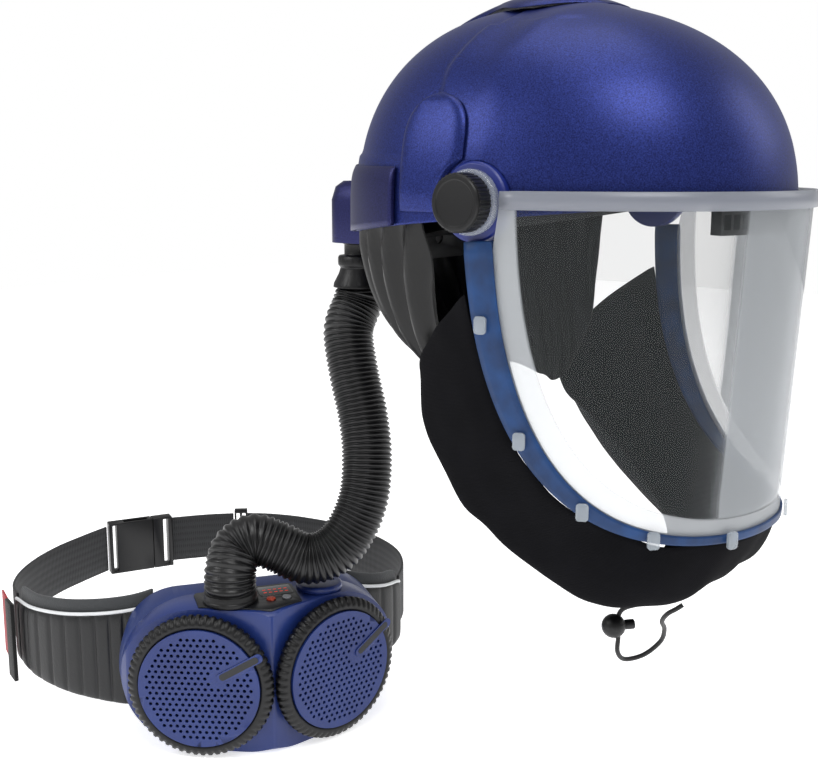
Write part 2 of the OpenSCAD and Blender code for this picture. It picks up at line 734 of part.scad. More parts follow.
// ---------------------------------------------------------------- blower

split_y = 44;
top_z = blower_h / 2;
// Levels along a filter's axis, measured back from the face of its cover
rim_back = 13;
cup_back = 30;
neck_back = 38;
cup_r = min(38, grille_r - 4);
filter_neck_r = 20;
cover_t = 2.4;
pocket_gap = 0.6;
// Face of the housing behind the rims, at a distance from the middle
function face_y(x) =
    (rim_back + 0.5) / cos(filter_splay) + (abs(x) - filter_gap / 2) * tan(filter_splay);

// side is -1 for the right filter and 1 for the left; Z points out of it
module at_filter(side) {
    at_blower() translate([side * filter_gap / 2, 0, 0]) rotate([0, 0, side * filter_splay])
        rotate([90, 0, 0]) children();
}
module housing_plan() {
    w = blower_w / 2;
    offset(r = 6) offset(delta = -6) polygon([
        [0, face_y(0)], [w - 4, face_y(w - 4)], [w, face_y(w) + 5], [w, blower_back - 16],
        [w - 12, blower_back], [-w + 12, blower_back], [-w, blower_back - 16],
        [-w, face_y(w) + 5], [-w + 4, face_y(w - 4)]]);
}
module housing_form() {
    r = blower_h / 2;
    reach = blower_w / 2 - r;
    intersection() {
        translate([0, 0, -r]) linear_extrude(blower_h) housing_plan();
        translate([0, 100, 0]) rotate([90, 0, 0]) linear_extrude(200) {
            square([2 * reach, blower_h], center = true);
            for (x = [-reach, reach]) translate([x, 0]) circle(r = r, $fn = 96);
        }
        translate([-150, 0, 0]) rotate([90, 0, 90]) linear_extrude(300)
            offset(r = 9, $fn = 32) offset(delta = -9)
                translate([face_y(0) - 1, -r]) square([blower_back + 1 - face_y(0), blower_h]);
    }
}

battery_half = 44;
battery_y0 = 27;
battery_y1 = 62;
battery_plate = -41;
battery_block = -25;
module battery_form(gap) {
    translate([-battery_half - gap, battery_y0 - gap, -top_z - (gap > 0 ? 10 : 0)])
        cube([2 * battery_half + 2 * gap, battery_y1 - battery_y0 + 2 * gap,
            top_z + battery_plate + gap + (gap > 0 ? 10 : 0)]);
    translate([-battery_half - gap, split_y + 2 - gap, battery_plate - 1])
        cube([2 * battery_half + 2 * gap, battery_y1 - split_y - 2 + 2 * gap,
            battery_block - battery_plate + 1 + gap]);
}

latch_half = 8;
latch_y0 = 19.6;
latch_y1 = 26.2;
latch_travel = 3;
latch_top = -45;

panel_x0 = -46;
panel_x1 = 24;
panel_y1 = 43;
panel_low = top_z - 0.8;
panel_high = top_z + 0.9;
module panel_outline(grow) {
    intersection() {
        offset(delta = -3 + grow) housing_plan();
        offset(r = 4 + grow) offset(delta = -4) translate([panel_x0, -20])
            square([panel_x1 - panel_x0, panel_y1 + 20]);
    }
}
window_x = 10;
window_y = 31;
window_w = 24;
window_l = 18;
button_r = 3.2;
button_y = 15;
power_x = 4;
flow_x = 15;
button_travel = 0.8;
button_low = top_z - 4;
cap_x = 42;
cap_y = 30;
cap_r = 16.5;
cap_plug_r = 11;
spout_neck_r = 14;
spout_bore = 11.5;

fan_z = 11;
fan_r = 34.6;
fan_y0 = split_y + 0.4;
fan_y1 = blower_back - 4.4;
board_x = -84;
board_w = 36;

module filter_pocket(side) {
    at_pocket(side) {
        translate([0, 0, -cup_back - pocket_gap]) cylinder(h = 60, r = cup_r + pocket_gap, $fn = 96);
        translate([0, 0, -neck_back - pocket_gap]) cylinder(h = 60, r = filter_neck_r + turn_gap, $fn = 96);
    }
}
module at_pocket(side) {
    translate([side * filter_gap / 2, 0, 0]) rotate([0, 0, side * filter_splay])
        rotate([90, 0, 0]) children();
}

module front_housing() {
    color("#3450a4") at_blower() difference() {
        housing_form();
        translate([-150, split_y, -100]) cube([300, 100, 200]);
        filter_pocket(-1);
        filter_pocket(1);
        battery_form(drop_gap);
        translate([-latch_half - 0.3, latch_y0 - latch_travel - 0.3, -top_z - 5])
            cube([2 * latch_half + 0.6, latch_y1 - latch_y0 + latch_travel + 0.6, top_z + 5 + latch_top + 0.3]);
        translate([0, 0, panel_low]) linear_extrude(10) panel_outline(0.15);
        translate([spout_x, spout_y, top_z - 11]) cylinder(h = 20, r = spout_neck_r + 0.05, $fn = 64);
        translate([cap_x, cap_y, top_z - 6]) cylinder(h = 20, r = cap_plug_r + turn_gap, $fn = 64);
        for (x = [power_x, flow_x]) translate([x, button_y, button_low - button_travel - 0.4])
            cylinder(h = 20, r = button_r + 0.1);
    }
}
back_half = 50;
back_low = -40;
back_high = 20;
back_rise = 2;
module rear_housing() {
    color("#2d4690") at_blower() difference() {
        union() {
            housing_form();
            translate([-back_half, blower_back - 1, back_low])
                cube([2 * back_half, back_rise + 1, back_high - back_low]);
        }
        translate([-150, split_y - 100, -100]) cube([300, 100.1, 200]);
        battery_form(drop_gap);
        translate([0, fan_y1 + 0.2, fan_z]) rotate([90, 0, 0]) cylinder(h = 60, r = fan_r + 0.2, $fn = 96);
        translate([board_x, split_y - 1, -22]) cube([board_w, 16, 44]);
    }
}
module top_panel() {
    color("#2b2c30") at_blower() difference() {
        translate([0, 0, panel_low]) linear_extrude(panel_high - panel_low) panel_outline(0);
        translate([spout_x, spout_y, 0]) cylinder(h = 100, r = spout_neck_r + 0.05, $fn = 64);
        translate([window_x, window_y, panel_high - 0.8]) linear_extrude(5)
            offset(r = 2) square([window_w - 4, window_l - 4], center = true);
        for (x = [power_x, flow_x]) translate([x, button_y, 0]) cylinder(h = 100, r = button_r + 0.1);
    }
}
module display_window() {
    color("#8d8f94") at_blower() translate([window_x, window_y, panel_high - 0.8]) linear_extrude(1)
        offset(r = 1.9) square([window_w - 4, window_l - 4], center = true);
}
module button(x) {
    at_blower() translate([x, button_y, button_low])
        rotate_extrude() polygon([[0, 0], [button_r, 0], [button_r, 5.6], [button_r - 0.6, 6.2], [0, 6.4]]);
}
module power_button() { color("#c8503c") button(power_x); }
module flow_button() { color("#9a9ca0") button(flow_x); }
module hose_spout() {
    color("#151517") at_blower() translate([spout_x, spout_y, 0]) rotate_extrude($fn = 64) polygon([
        [spout_bore, top_z - 10.8], [spout_neck_r, top_z - 10.8], [spout_neck_r, panel_high],
        [19, panel_high], [19, panel_high + 2.6], [18.2, panel_high + 3.4], [18.2, spout_top],
        [spout_bore, spout_top]]);
}
module port_cap() {
    color("#3a57b0") at_blower() translate([cap_x, cap_y, top_z]) difference() {
        rotate_extrude($fn = 64) polygon([
            [0, -5.6], [cap_plug_r, -5.6], [cap_plug_r, 0.2], [cap_r, 0.2], [cap_r, 3.2],
            [cap_r - 1.5, 4.6], [0, 5.4]]);
        translate([0, 0, 8]) cube([22, 3, 9], center = true);
    }
}
module battery_pack() {
    color("#3c4f8e") at_blower() difference() {
        battery_form(0);
        for (x = [-30, -20, 20, 30]) translate([x, battery_y0 + 8, -top_z - 0.5]) cube([4, 20, 1.2]);
    }
}
module battery_latch() {
    color("#1a1b1e") at_blower() difference() {
        translate([-latch_half, latch_y0, -top_z]) cube([2 * latch_half, latch_y1 - latch_y0, top_z + latch_top]);
        for (y = [1.4, 3.2, 5]) translate([-latch_half + 2, latch_y0 + y, -top_z - 0.5]) cube([2 * latch_half - 4, 0.9, 1]);
    }
}

module at_fan(y) {
    at_blower() translate([0, y, fan_z]) rotate([-90, 0, 0]) children();
}
fan_len = fan_y1 - fan_y0;
motor_len = 7;
impeller_r = 29;
shaft_r = 1.5;
module fan_scroll() {
    t = 1.6;
    color("#26272b") at_fan(fan_y0) rotate_extrude($fn = 64) polygon([
        [15, 0], [fan_r, 0], [fan_r, fan_len], [0, fan_len], [0, fan_len - t],
        [fan_r - t, fan_len - t], [fan_r - t, t], [15, t]]);
}
module fan_motor() {
    back = fan_len - 1.6;
    color("#77797e") at_fan(fan_y0) rotate_extrude($fn = 48) polygon([
        [0, back], [13, back], [13, back - motor_len], [4, back - motor_len],
        [4, back - motor_len - 0.6], [shaft_r, back - motor_len - 0.6], [shaft_r, 4], [0, 4]]);
}
module impeller() {
    back = fan_len - 1.6 - motor_len - 1;
    color("#3d3f45") at_fan(fan_y0) difference() {
        union() {
            rotate_extrude() polygon([
                [0, 5], [7, 5], [8, back - 1.4], [impeller_r, back - 1.4], [impeller_r, back], [0, back]]);
            for (i = [0 : 17]) rotate(20 * i) translate([20, -3, 4])
                rotate(35) cube([9, 1.2, back - 5]);
        }
        translate([0, 0, -1]) cylinder(h = 40, r = shaft_r + turn_gap);
    }
}
module control_board() {
    color("#1f5c3a") at_blower() {
        translate([board_x + 1, split_y + 4, -20]) cube([board_w - 2, 1.6, 40]);
        for (z = [-14, 2]) translate([board_x + 6, split_y + 5.6, z]) cube([12, 3, 10]);
        translate([board_x + 22, split_y + 5.6, -10]) cube([8, 6, 18]);
    }
}

rim_notches = 60;
module canister(side) {
    r = rim_r;
    at_filter(side) difference() {
        rotate_extrude($fn = 120) polygon([
            [grille_r + 0.3, -3.2], [grille_r + 0.3, -1.6], [r - 5.4, -0.8], [r - 1.6, -2.8],
            [r, -6], [r - 1.9, -10], [r - 4, -rim_back], [cup_r, -rim_back], [cup_r, -cup_back],
            [filter_neck_r, -cup_back], [filter_neck_r, -neck_back], [filter_neck_r - 3, -neck_back],
            [filter_neck_r - 3, -cup_back + 2.5], [cup_r - 2.5, -cup_back + 2.5], [cup_r - 2.5, -3.2]]);
        for (i = [0 : rim_notches - 1]) rotate(360 * i / rim_notches)
            translate([r + 0.4, 0, -rim_back - 1]) cylinder(h = rim_back + 4, r = 0.9, $fn = 14);
    }
}
module canister_right() { color("#17181c") canister(-1); }
module canister_left() { color("#17181c") canister(1); }
module filter_media(side) {
    at_filter(side) translate([0, 0, -cup_back + 2.7]) linear_extrude(cup_back - 2.7 - cover_t - 1.2)
        circle(r = cup_r - 2.7, $fn = 96);
}
module filter_media_right() { color("#d8d6cc") filter_media(-1); }
module filter_media_left() { color("#d8d6cc") filter_media(1); }

label_turn = 30;
label_in = 18;
label_w = 6.4;
module label_shape() {
    rotate(label_turn) hull() for (x = [label_in, rim_r - label_w / 2]) translate([x, 0])
        circle(d = label_w, $fn = 24);
}
module filter_cover(side) {
    rows = floor((grille_r - 4) / (hole_pitch * sin(60)));
    at_filter(side) {
        translate([0, 0, -cover_t]) linear_extrude(cover_t) difference() {
            circle(r = grille_r, $fn = 120);
            for (j = [-rows : rows], i = [-12 : 12]) {
                x = hole_pitch * (i + (j % 2 == 0 ? 0 : 0.5));
                y = hole_pitch * j * sin(60);
                u = x * cos(label_turn) + y * sin(label_turn);
                v = y * cos(label_turn) - x * sin(label_turn);
                if (norm([x, y]) < grille_r - 4 && (u < label_in - 7 || abs(v) > label_w / 2 + 2))
                    translate([x, y]) circle(d = hole_d, $fn = 6);
            }
        }
        linear_extrude(0.9) label_shape();
    }
}
module filter_cover_right() { color("#3450b0") filter_cover(-1); }
module filter_cover_left() { color("#3450b0") filter_cover(1); }

// ---------------------------------------------------------------- belt

pad_y = blower_back + pad_t / 2 + 1;
pad_route_right = [[-70, pad_y], [-86, pad_y + 1], [-108, 88], [-132, 105], [-152, 132], [-163, 164]];
pad_route_left = [[70, pad_y], [86, pad_y + 1], [106, 89], [124, 108]];
module comfort_pad(route, low, high) {
    path = spline(route, 14);
    at_blower() loft([for (i = [0 : 13])
        let (
            d = heading(path, i), s = [d[1], -d[0], 0] * pad_t / 2,
            c = [path[i][0], path[i][1], 0], h = [0, 0, mix(low, high, i / 13) / 2]
        )
        [c + s - h, c - s - h, c - s + h, c + s + h]]);
}
module comfort_pad_right() { color("#202124") comfort_pad(pad_route_right, pad_h, pad_end_h); }
module comfort_pad_left() { color("#202124") comfort_pad(pad_route_left, pad_h, pad_end_h); }

buckle_at = [-62, 326];
buckle_turn = 8;
buckle_h = web_w + 6;
buckle_d = 11;
buckle_travel = 24;
glide_at = [38, 325];
module at_buckle() {
    at_blower() translate([buckle_at[0], buckle_at[1], 0]) rotate([0, 0, buckle_turn]) children();
}
web_route_right = [[-165, 170], [-168, 192], [-163, 220], [-150, 250], [-131, 278], [-108, 302], [-88, 321]];
web_route_left = [[44, 323], [66, 313], [92, 293], [120, 260], [140, 218], [147, 178], [141, 142], [128, 114]];
web_route_plug = [[-27, 331], [-10, 331], [10, 330], [31, 326.5]];
module belt_webbing() {
    color("#3a3b3d") at_blower() {
        band(spline(web_route_right, 22), web_w, web_t);
        band(spline(web_route_left, 26), web_w, web_t);
    }
}
module plug_webbing() {
    color("#3a3b3d") at_blower() band(spline(web_route_plug, 8), web_w, web_t);
}
// Side-release buckle: the plug slides out along X
prong_z = buckle_h / 2 - 7;
module buckle_socket() {
    color("#26272a") at_buckle() difference() {
        translate([-24, -buckle_d / 2, -buckle_h / 2]) cube([40, buckle_d, buckle_h]);
        translate([-10, -buckle_d / 2 + 2, -buckle_h / 2 - 1]) cube([22, buckle_d - 4, buckle_h + 2]);
        translate([10, -buckle_d / 2 + 2, -buckle_h / 2 + 3]) cube([10, buckle_d - 4, buckle_h - 6]);
        translate([-21, -buckle_d, -web_w / 2 - 1]) cube([4, 2 * buckle_d, web_w + 2]);
    }
}
module buckle_plug() {
    color("#2b2c2f") at_buckle() {
        difference() {
            translate([16.4, -buckle_d / 2, -buckle_h / 2]) cube([18, buckle_d, buckle_h]);
            translate([26, -buckle_d, -web_w / 2 - 1]) cube([5, 2 * buckle_d, web_w + 2]);
        }
        translate([-6, -1.8, -2.5]) cube([22.4, 3.6, 5]);
    }
}
// Spring arm of the buckle: side is 1 above and -1 below
module prong(side) {
    at_buckle() mirror([0, 0, side < 0 ? 1 : 0]) translate([0, 3, 0]) rotate([90, 0, 0])
        linear_extrude(6) polygon([
            [15.9, prong_z - 3], [4, prong_z], [-8, prong_z - 3], [-8, prong_z + 1],
            [-2, prong_z + 5.2], [2, prong_z + 5.2], [4, prong_z + 3.4], [15.9, prong_z]]);
}
module buckle_prong_upper() { color("#2b2c2f") prong(1); }
module buckle_prong_lower() { color("#2b2c2f") prong(-1); }
module tri_glide() {
    color("#232427") at_blower() translate([glide_at[0], glide_at[1], 0]) rotate([0, 0, -14]) difference() {
        translate([-6, -3, -web_w / 2 - 4]) cube([12, 6, web_w + 8]);
        translate([-4.5, -5, -web_w / 2 - 0.5]) cube([3.5, 10, web_w + 1]);
        translate([1, -5, -web_w / 2 - 0.5]) cube([3.5, 10, web_w + 1]);
    }
}
module belt_tag() {
    color("#c21f2e") at_blower() translate([-174.5, 172, -4]) rotate([0, 0, 100])
        cube([20, 1.4, 50], center = true);
}
module strap_end() {
    color("#161618") at_blower() translate([-171, 148, -8]) rotate([0, 0, 105])
        cube([16, 3, 62], center = true);
}

helmet_shell();
crest_cover();
rear_band();
ear_covers();
pivot_seats();
pivot_studs();
impact_liner();
headband();
brow_pad();
crown_straps();
ratchet_housing();
ratchet_knob();
brow_vent();
air_duct();
inlet_cover();
inlet_bell();
hose();
rear_cape();
visor_lens();
top_strip();
pivot_rings();
seal_frame();
seal_clips();
neck_seal();
drawcord();
cord_lock_body();
cord_lock_plunger();
knob_right();
knob_left();
front_housing();
rear_housing();
top_panel();
display_window();
power_button();
flow_button();
hose_spout();
port_cap();
battery_pack();
battery_latch();
fan_scroll();
impeller();
fan_motor();
control_board();
canister_right();
canister_left();
filter_media_right();
filter_media_left();
filter_cover_right();
filter_cover_left();
comfort_pad_left();
comfort_pad_right();
belt_webbing();
plug_webbing();
buckle_socket();
buckle_plug();
buckle_prong_upper();
buckle_prong_lower();
tri_glide();
belt_tag();
strap_end();
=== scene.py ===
import json
import math

import bmesh
import bpy
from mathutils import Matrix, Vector, noise

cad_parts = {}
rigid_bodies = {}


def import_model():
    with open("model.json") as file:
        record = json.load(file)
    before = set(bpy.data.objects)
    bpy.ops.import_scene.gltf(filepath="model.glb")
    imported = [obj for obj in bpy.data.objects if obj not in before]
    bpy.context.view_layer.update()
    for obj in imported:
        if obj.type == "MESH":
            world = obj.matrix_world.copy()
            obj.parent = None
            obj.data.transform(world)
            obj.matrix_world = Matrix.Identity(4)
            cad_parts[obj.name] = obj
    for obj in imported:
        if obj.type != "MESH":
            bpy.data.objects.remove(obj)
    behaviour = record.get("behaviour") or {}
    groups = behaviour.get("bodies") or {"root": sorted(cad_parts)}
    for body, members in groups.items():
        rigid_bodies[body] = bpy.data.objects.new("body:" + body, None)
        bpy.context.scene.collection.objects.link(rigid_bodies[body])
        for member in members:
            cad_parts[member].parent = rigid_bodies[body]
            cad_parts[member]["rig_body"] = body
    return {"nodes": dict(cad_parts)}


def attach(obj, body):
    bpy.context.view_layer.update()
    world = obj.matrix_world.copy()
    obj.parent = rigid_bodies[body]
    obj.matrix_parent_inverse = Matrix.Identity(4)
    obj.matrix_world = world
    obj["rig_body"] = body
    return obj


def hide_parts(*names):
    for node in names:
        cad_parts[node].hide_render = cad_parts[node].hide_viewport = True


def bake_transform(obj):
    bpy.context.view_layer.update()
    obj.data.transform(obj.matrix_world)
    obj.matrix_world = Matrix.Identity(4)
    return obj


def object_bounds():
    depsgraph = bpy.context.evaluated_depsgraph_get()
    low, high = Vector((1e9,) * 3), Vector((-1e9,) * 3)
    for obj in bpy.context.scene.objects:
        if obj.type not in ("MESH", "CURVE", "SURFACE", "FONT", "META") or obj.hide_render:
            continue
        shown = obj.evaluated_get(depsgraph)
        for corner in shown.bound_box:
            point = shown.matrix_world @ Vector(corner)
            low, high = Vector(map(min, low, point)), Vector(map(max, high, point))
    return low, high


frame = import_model()
cad_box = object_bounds()


# ---------------------------------------------------------------- studio
# A pale sweep on the floor that the blower stands on, a large soft light over
# the left shoulder, a weaker one on the right and one behind for the edges.
def hue(code):
    """The linear colour of an sRGB hex code."""
    parts = [int(code[i : i + 2], 16) / 255 for i in (1, 3, 5)]
    return tuple(c / 12.92 if c < 0.04045 else ((c + 0.055) / 1.055) ** 2.4 for c in parts) + (1,)


def add(material, kind, settings=None, **sockets):
    """A node with its settings; _0 is an input's number, and outputs are linked."""
    node = material.node_tree.nodes.new("ShaderNode" + kind)
    for name, value in (settings or {}).items():
        setattr(node, name, value)
    for name, value in sockets.items():
        place = int(name[1:]) if name[0] == "_" else name.replace("_", " ")
        if isinstance(value, bpy.types.NodeSocket):
            material.node_tree.links.new(value, node.inputs[place])
        else:
            node.inputs[place].default_value = value
    return node


def finish(name, colour, roughness, metallic=0.0, **sockets):
    """A plain material, ready for patterns to be wired to it."""
    material = bpy.data.materials.new(name)
    material.use_nodes = True
    shader = material.node_tree.nodes["Principled BSDF"]
    shader.inputs["Base Color"].default_value = hue(colour)
    shader.inputs["Roughness"].default_value = roughness
    shader.inputs["Metallic"].default_value = metallic
    for socket, value in sockets.items():
        shader.inputs[socket.replace("_", " ")].default_value = value
    return material


def wire(material, **sockets):
    """Links nodes' outputs to the sockets of a finish's own shader."""
    shader = material.node_tree.nodes["Principled BSDF"]
    for socket, output in sockets.items():
        material.node_tree.links.new(output, shader.inputs[socket.replace("_", " ")])


def aim(obj, towards):
    """Points a camera or a lamp along a direction."""
    obj.rotation_euler = towards.to_track_quat("-Z", "Y").to_euler()


camera_at = (-0.6340, -0.3636, 0.0200)
camera_view = Vector((0.775, 0.605, -0.182))
camera_lens = 51.05
near_clip = 0.01
bpy.ops.object.select_all(action="DESELECT")
bpy.ops.object.camera_add(location=camera_at)
camera = bpy.context.object
aim(camera, camera_view)
camera.data.lens = camera_lens
camera.data.clip_start = near_clip
bpy.context.scene.camera = camera
bpy.context.scene.view_settings.view_transform = "Standard"

floor_size = 6
floor_gap = 0.0005
bpy.ops.mesh.primitive_plane_add(size=floor_size, location=(0, 0, cad_box[0][2] - floor_gap))
floor = bpy.context.object
floor.name = "floor"
floor_paint = finish(
    "pale_paper", "#FBFBFC", 0.9, Emission_Strength=0.65, Emission_Color=(1, 1, 1, 1)
)
floor.data.materials.append(floor_paint)

# The camera sees a white room, but the room lights the object less than that
room_fill = 0.42
world = bpy.data.worlds.new("studio")
bpy.context.scene.world = world
world.use_nodes = True
sky = world.node_tree.nodes["Background"]
sky.inputs["Color"].default_value = (1, 1, 1, 1)
rays = world.node_tree.nodes.new("ShaderNodeLightPath")
level = world.node_tree.nodes.new("ShaderNodeMapRange")
level.inputs["To Min"].default_value = room_fill
world.node_tree.links.new(rays.outputs["Is Camera Ray"], level.inputs["Value"])
world.node_tree.links.new(level.outputs["Result"], sky.inputs["Strength"])
lit_middle = Vector((0, 0.05, -0.1))
for spot, watts, size in (
    ((-0.75, -0.85, 1.5), 15, 0.9),
    ((1.2, -1.1, 0.8), 5, 0.9),
    ((-1.3, 1.0, 0.9), 9, 0.7),
    ((0.1, 0.2, 2.4), 16, 1.6),
):
    bpy.ops.object.light_add(type="AREA", location=spot)
    lamp = bpy.context.object
    lamp.data.energy = watts
    lamp.data.size = size
    aim(lamp, lit_middle - Vector(spot))


# ---------------------------------------------------------------- breathing hose
# Ribbed polyurethane hose, blow-moulded in one length. It screws into the bell
# under the helmet's inlet and onto the spout of the blower.
def curve_points(points, count):
    """Points along a smooth curve through the given ones."""
    out = []
    for k in range(count):
        x = (len(points) - 1) * k / (count - 1)
        i = min(len(points) - 2, int(x))
        f = x - i
        a, b, c, d = (
            Vector(points[min(max(j, 0), len(points) - 1)]) for j in (i - 1, i, i + 1, i + 2)
        )
        out.append(
            0.5
            * (
                2 * b
                + (c - a) * f
                + (2 * a - 5 * b + 4 * c - d) * f**2
                + (3 * b - a - 3 * c + d) * f**3
            )
        )
    return out


def length_of(points):
    """The length of a path."""
    return sum((b - a).length for a, b in zip(points, points[1:]))


def mm(*rows):
    """Points given in millimetres, in metres."""
    return [tuple(v / 1000 for v in row) for row in rows]


def grains(size):
    """The scale of a noise or cell pattern whose grains measure this many millimetres."""
    return 1000 / size


def settle(name, mesh):
    """Turns a built mesh's faces outwards and makes it the selected object."""
    bmesh.ops.recalc_face_normals(mesh, faces=mesh.faces)
    data = bpy.data.meshes.new(name)
    mesh.to_mesh(data)
    mesh.free()
    obj = bpy.data.objects.new(name, data)
    bpy.context.scene.collection.objects.link(obj)
    bpy.ops.object.select_all(action="DESELECT")
    bpy.context.view_layer.objects.active = obj
    obj.select_set(True)
    return obj


def sweep(name, path, radius, sides, step):
    """A round tube along a path; radius is a function of the distance in metres."""
    total = length_of(path)
    count = max(2, round(total / step))
    stations, walked, k = [], 0.0, 0
    for i in range(count + 1):
        goal = total * i / count
        while k < len(path) - 2 and walked + (path[k + 1] - path[k]).length < goal:
            walked += (path[k + 1] - path[k]).length
            k += 1
        edge = path[k + 1] - path[k]
        stations.append((goal, path[k] + edge * min(1, (goal - walked) / edge.length)))
    mesh = bmesh.new()
    uv = mesh.loops.layers.uv.new("along")
    across = Vector((0.8, 0.6, 0))
    turns = [2 * math.pi * j / sides for j in range(sides)]
    rings = []
    for i, (s, p) in enumerate(stations):
        ahead = (stations[min(count, i + 2)][1] - stations[max(0, i - 2)][1]).normalized()
        across = (across - ahead * across.dot(ahead)).normalized()
        side = ahead.cross(across)
        r = radius(s)
        rings.append(
            [mesh.verts.new(p + r * (math.cos(a) * across + math.sin(a) * side)) for a in turns]
        )
    for i in range(count):
        for j in range(sides):
            n = (j + 1) % sides
            patch = mesh.faces.new((rings[i][j], rings[i][n], rings[i + 1][n], rings[i + 1][j]))
            patch.smooth = True
            corners = ((i, j), (i, j + 1), (i + 1, j + 1), (i + 1, j))
            for loop, (a, b) in zip(patch.loops, corners):
                loop[uv].uv = (stations[a][0], b / sides)
    for ring in (rings[0][::-1], rings[-1]):
        mesh.faces.new(ring)
    return settle(name, mesh)


hose_d = 0.036
hose_sides = 40
rib_pitch = 0.0034
rib_depth = 0.0016
steps_in_rib = 8
hose_route = curve_points(
    mm(
        (0, 176, -66), (0, 176, -71), (-3, 177, -80), (-12, 177, -97), (-16, 169, -125),
        (-18, 159, -155), (-22, 152, -182), (-29, 149, -210), (-39, 152, -232), (-51, 159, -247),
        (-65, 172, -252), (-78, 187, -243), (-89, 199, -237), (-99, 206, -243), (-107, 204, -254),
        (-108.9, 203.1, -264.5), (-108.9, 203.1, -269.5),
    ),
    400,
)


def hose_radius(s):
    """Round crests with narrow grooves between them."""
    wave = 0.5 - 0.5 * math.cos(2 * math.pi * s / rib_pitch)
    return hose_d / 2 - rib_depth * (1 - wave**0.6)


hose = sweep("ribbed_hose", hose_route, hose_radius, hose_sides, rib_pitch / steps_in_rib)
hose_rubber = finish("satin_black_polyurethane", "#0A0A0C", 0.3, Specular_IOR_Level=0.5)
place = add(hose_rubber, "TexCoord").outputs["Object"]
dust = add(hose_rubber, "TexNoise", Vector=place, Scale=grains(3), Detail=4.0)
shade = add(hose_rubber, "MapRange", Value=dust.outputs["Fac"], To_Min=0.28, To_Max=0.44)
wire(hose_rubber, Roughness=shade.outputs["Result"])
hose.data.materials.append(hose_rubber)
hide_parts("hose")
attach(hose, "frame")

# ---------------------------------------------------------------- drawcord
# Thin round elastic cord that gathers the hem of the neck seal. Both ends come
# out of the hem under the chin and pass through a spring cord lock.
def waves(pitch):
    """The scale of a wave pattern whose bands lie this many millimetres apart."""
    return 314.16 / pitch


cord_d = 0.0028
cord_sides = 14
cord_step = 0.0008
cord_route = curve_points(
    mm(
        (-35, -97, -230.4), (-37, -94, -233), (-38, -89, -237), (-34, -84, -244), (-26, -82, -252),
        (-22, -78, -262), (-27, -70, -271), (-36, -62, -273), (-42, -60, -267), (-42, -60, -258),
        (-42, -60, -250), (-42, -60, -243), (-42, -64, -238), (-40, -73, -234), (-39, -81, -231),
    ),
    300,
)
drawcord = sweep("elastic_drawcord", cord_route, lambda s: cord_d / 2, cord_sides, cord_step)
cord_yarn = finish("braided_black_elastic", "#0E0E10", 0.62, Sheen_Weight=0.3)
along = add(cord_yarn, "UVMap", {"uv_map": "along"})
braid_turn = 0.8
braid = add(
    cord_yarn, "Mapping", Vector=along.outputs["UV"], Scale=(1.0, 0.006, 1.0),
    Rotation=(0, 0, braid_turn),
)
# The braid is 0.5 mm in the real cord and is drawn at 0.9 mm so that it shows
weave = add(
    cord_yarn, "TexWave", {"bands_direction": "X"}, Vector=braid.outputs["Vector"], Scale=waves(0.9)
)
relief = add(cord_yarn, "Bump", Height=weave.outputs["Fac"], Strength=0.5, Distance=0.0003)
wire(cord_yarn, Normal=relief.outputs["Normal"])
drawcord.data.materials.append(cord_yarn)
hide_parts("drawcord")
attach(drawcord, "visor")

# ---------------------------------------------------------------- helmet shell
# Injection-moulded ABS shell in a metallic violet-blue lacquer. The rim is cut
# high over the brow and runs low to the nape.
weld_gap = 0.00002
corner_crease = 0.85


def cast(node, name, paint, levels=0, angle=35, bevel=0.0, quads=True):
    """A piece with a CAD node's shape: merged, softened at its edges and smoothed."""
    bpy.ops.object.select_all(action="DESELECT")
    obj = bpy.data.objects.new(name, frame["nodes"][node].data.copy())
    obj.data.materials.clear()
    bpy.context.scene.collection.objects.link(obj)
    bpy.context.view_layer.objects.active = obj
    obj.select_set(True)
    bpy.ops.object.mode_set(mode="EDIT")
    bpy.ops.mesh.select_all(action="SELECT")
    bpy.ops.mesh.remove_doubles(threshold=weld_gap)
    if quads:
        bpy.ops.mesh.tris_convert_to_quads(
            face_threshold=math.radians(25), shape_threshold=math.radians(60)
        )
    else:
        bpy.ops.mesh.dissolve_limited(angle_limit=math.radians(0.5))
    bpy.ops.object.mode_set(mode="OBJECT")
    if levels:
        mesh = bmesh.new()
        mesh.from_mesh(obj.data)
        crease = mesh.edges.layers.float.new("crease_edge")
        for edge in mesh.edges:
            if len(edge.link_faces) == 2 and edge.calc_face_angle(0) > math.radians(angle):
                edge[crease] = corner_crease
        mesh.to_mesh(obj.data)
        mesh.free()
        softener = obj.modifiers.new("smooth", "SUBSURF")
        softener.levels = softener.render_levels = levels
        bpy.ops.object.modifier_apply(modifier="smooth")
    if bevel:
        rounder = obj.modifiers.new("edges", "BEVEL")
        rounder.width = bevel
        rounder.segments = 2
        rounder.limit_method = "ANGLE"
        rounder.angle_limit = math.radians(angle)
        bpy.ops.object.modifier_apply(modifier="edges")
    bpy.ops.object.shade_smooth_by_angle(angle=math.radians(angle))
    obj.data.materials.append(paint)
    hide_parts(node)
    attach(obj, frame["nodes"][node]["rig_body"])
    return obj


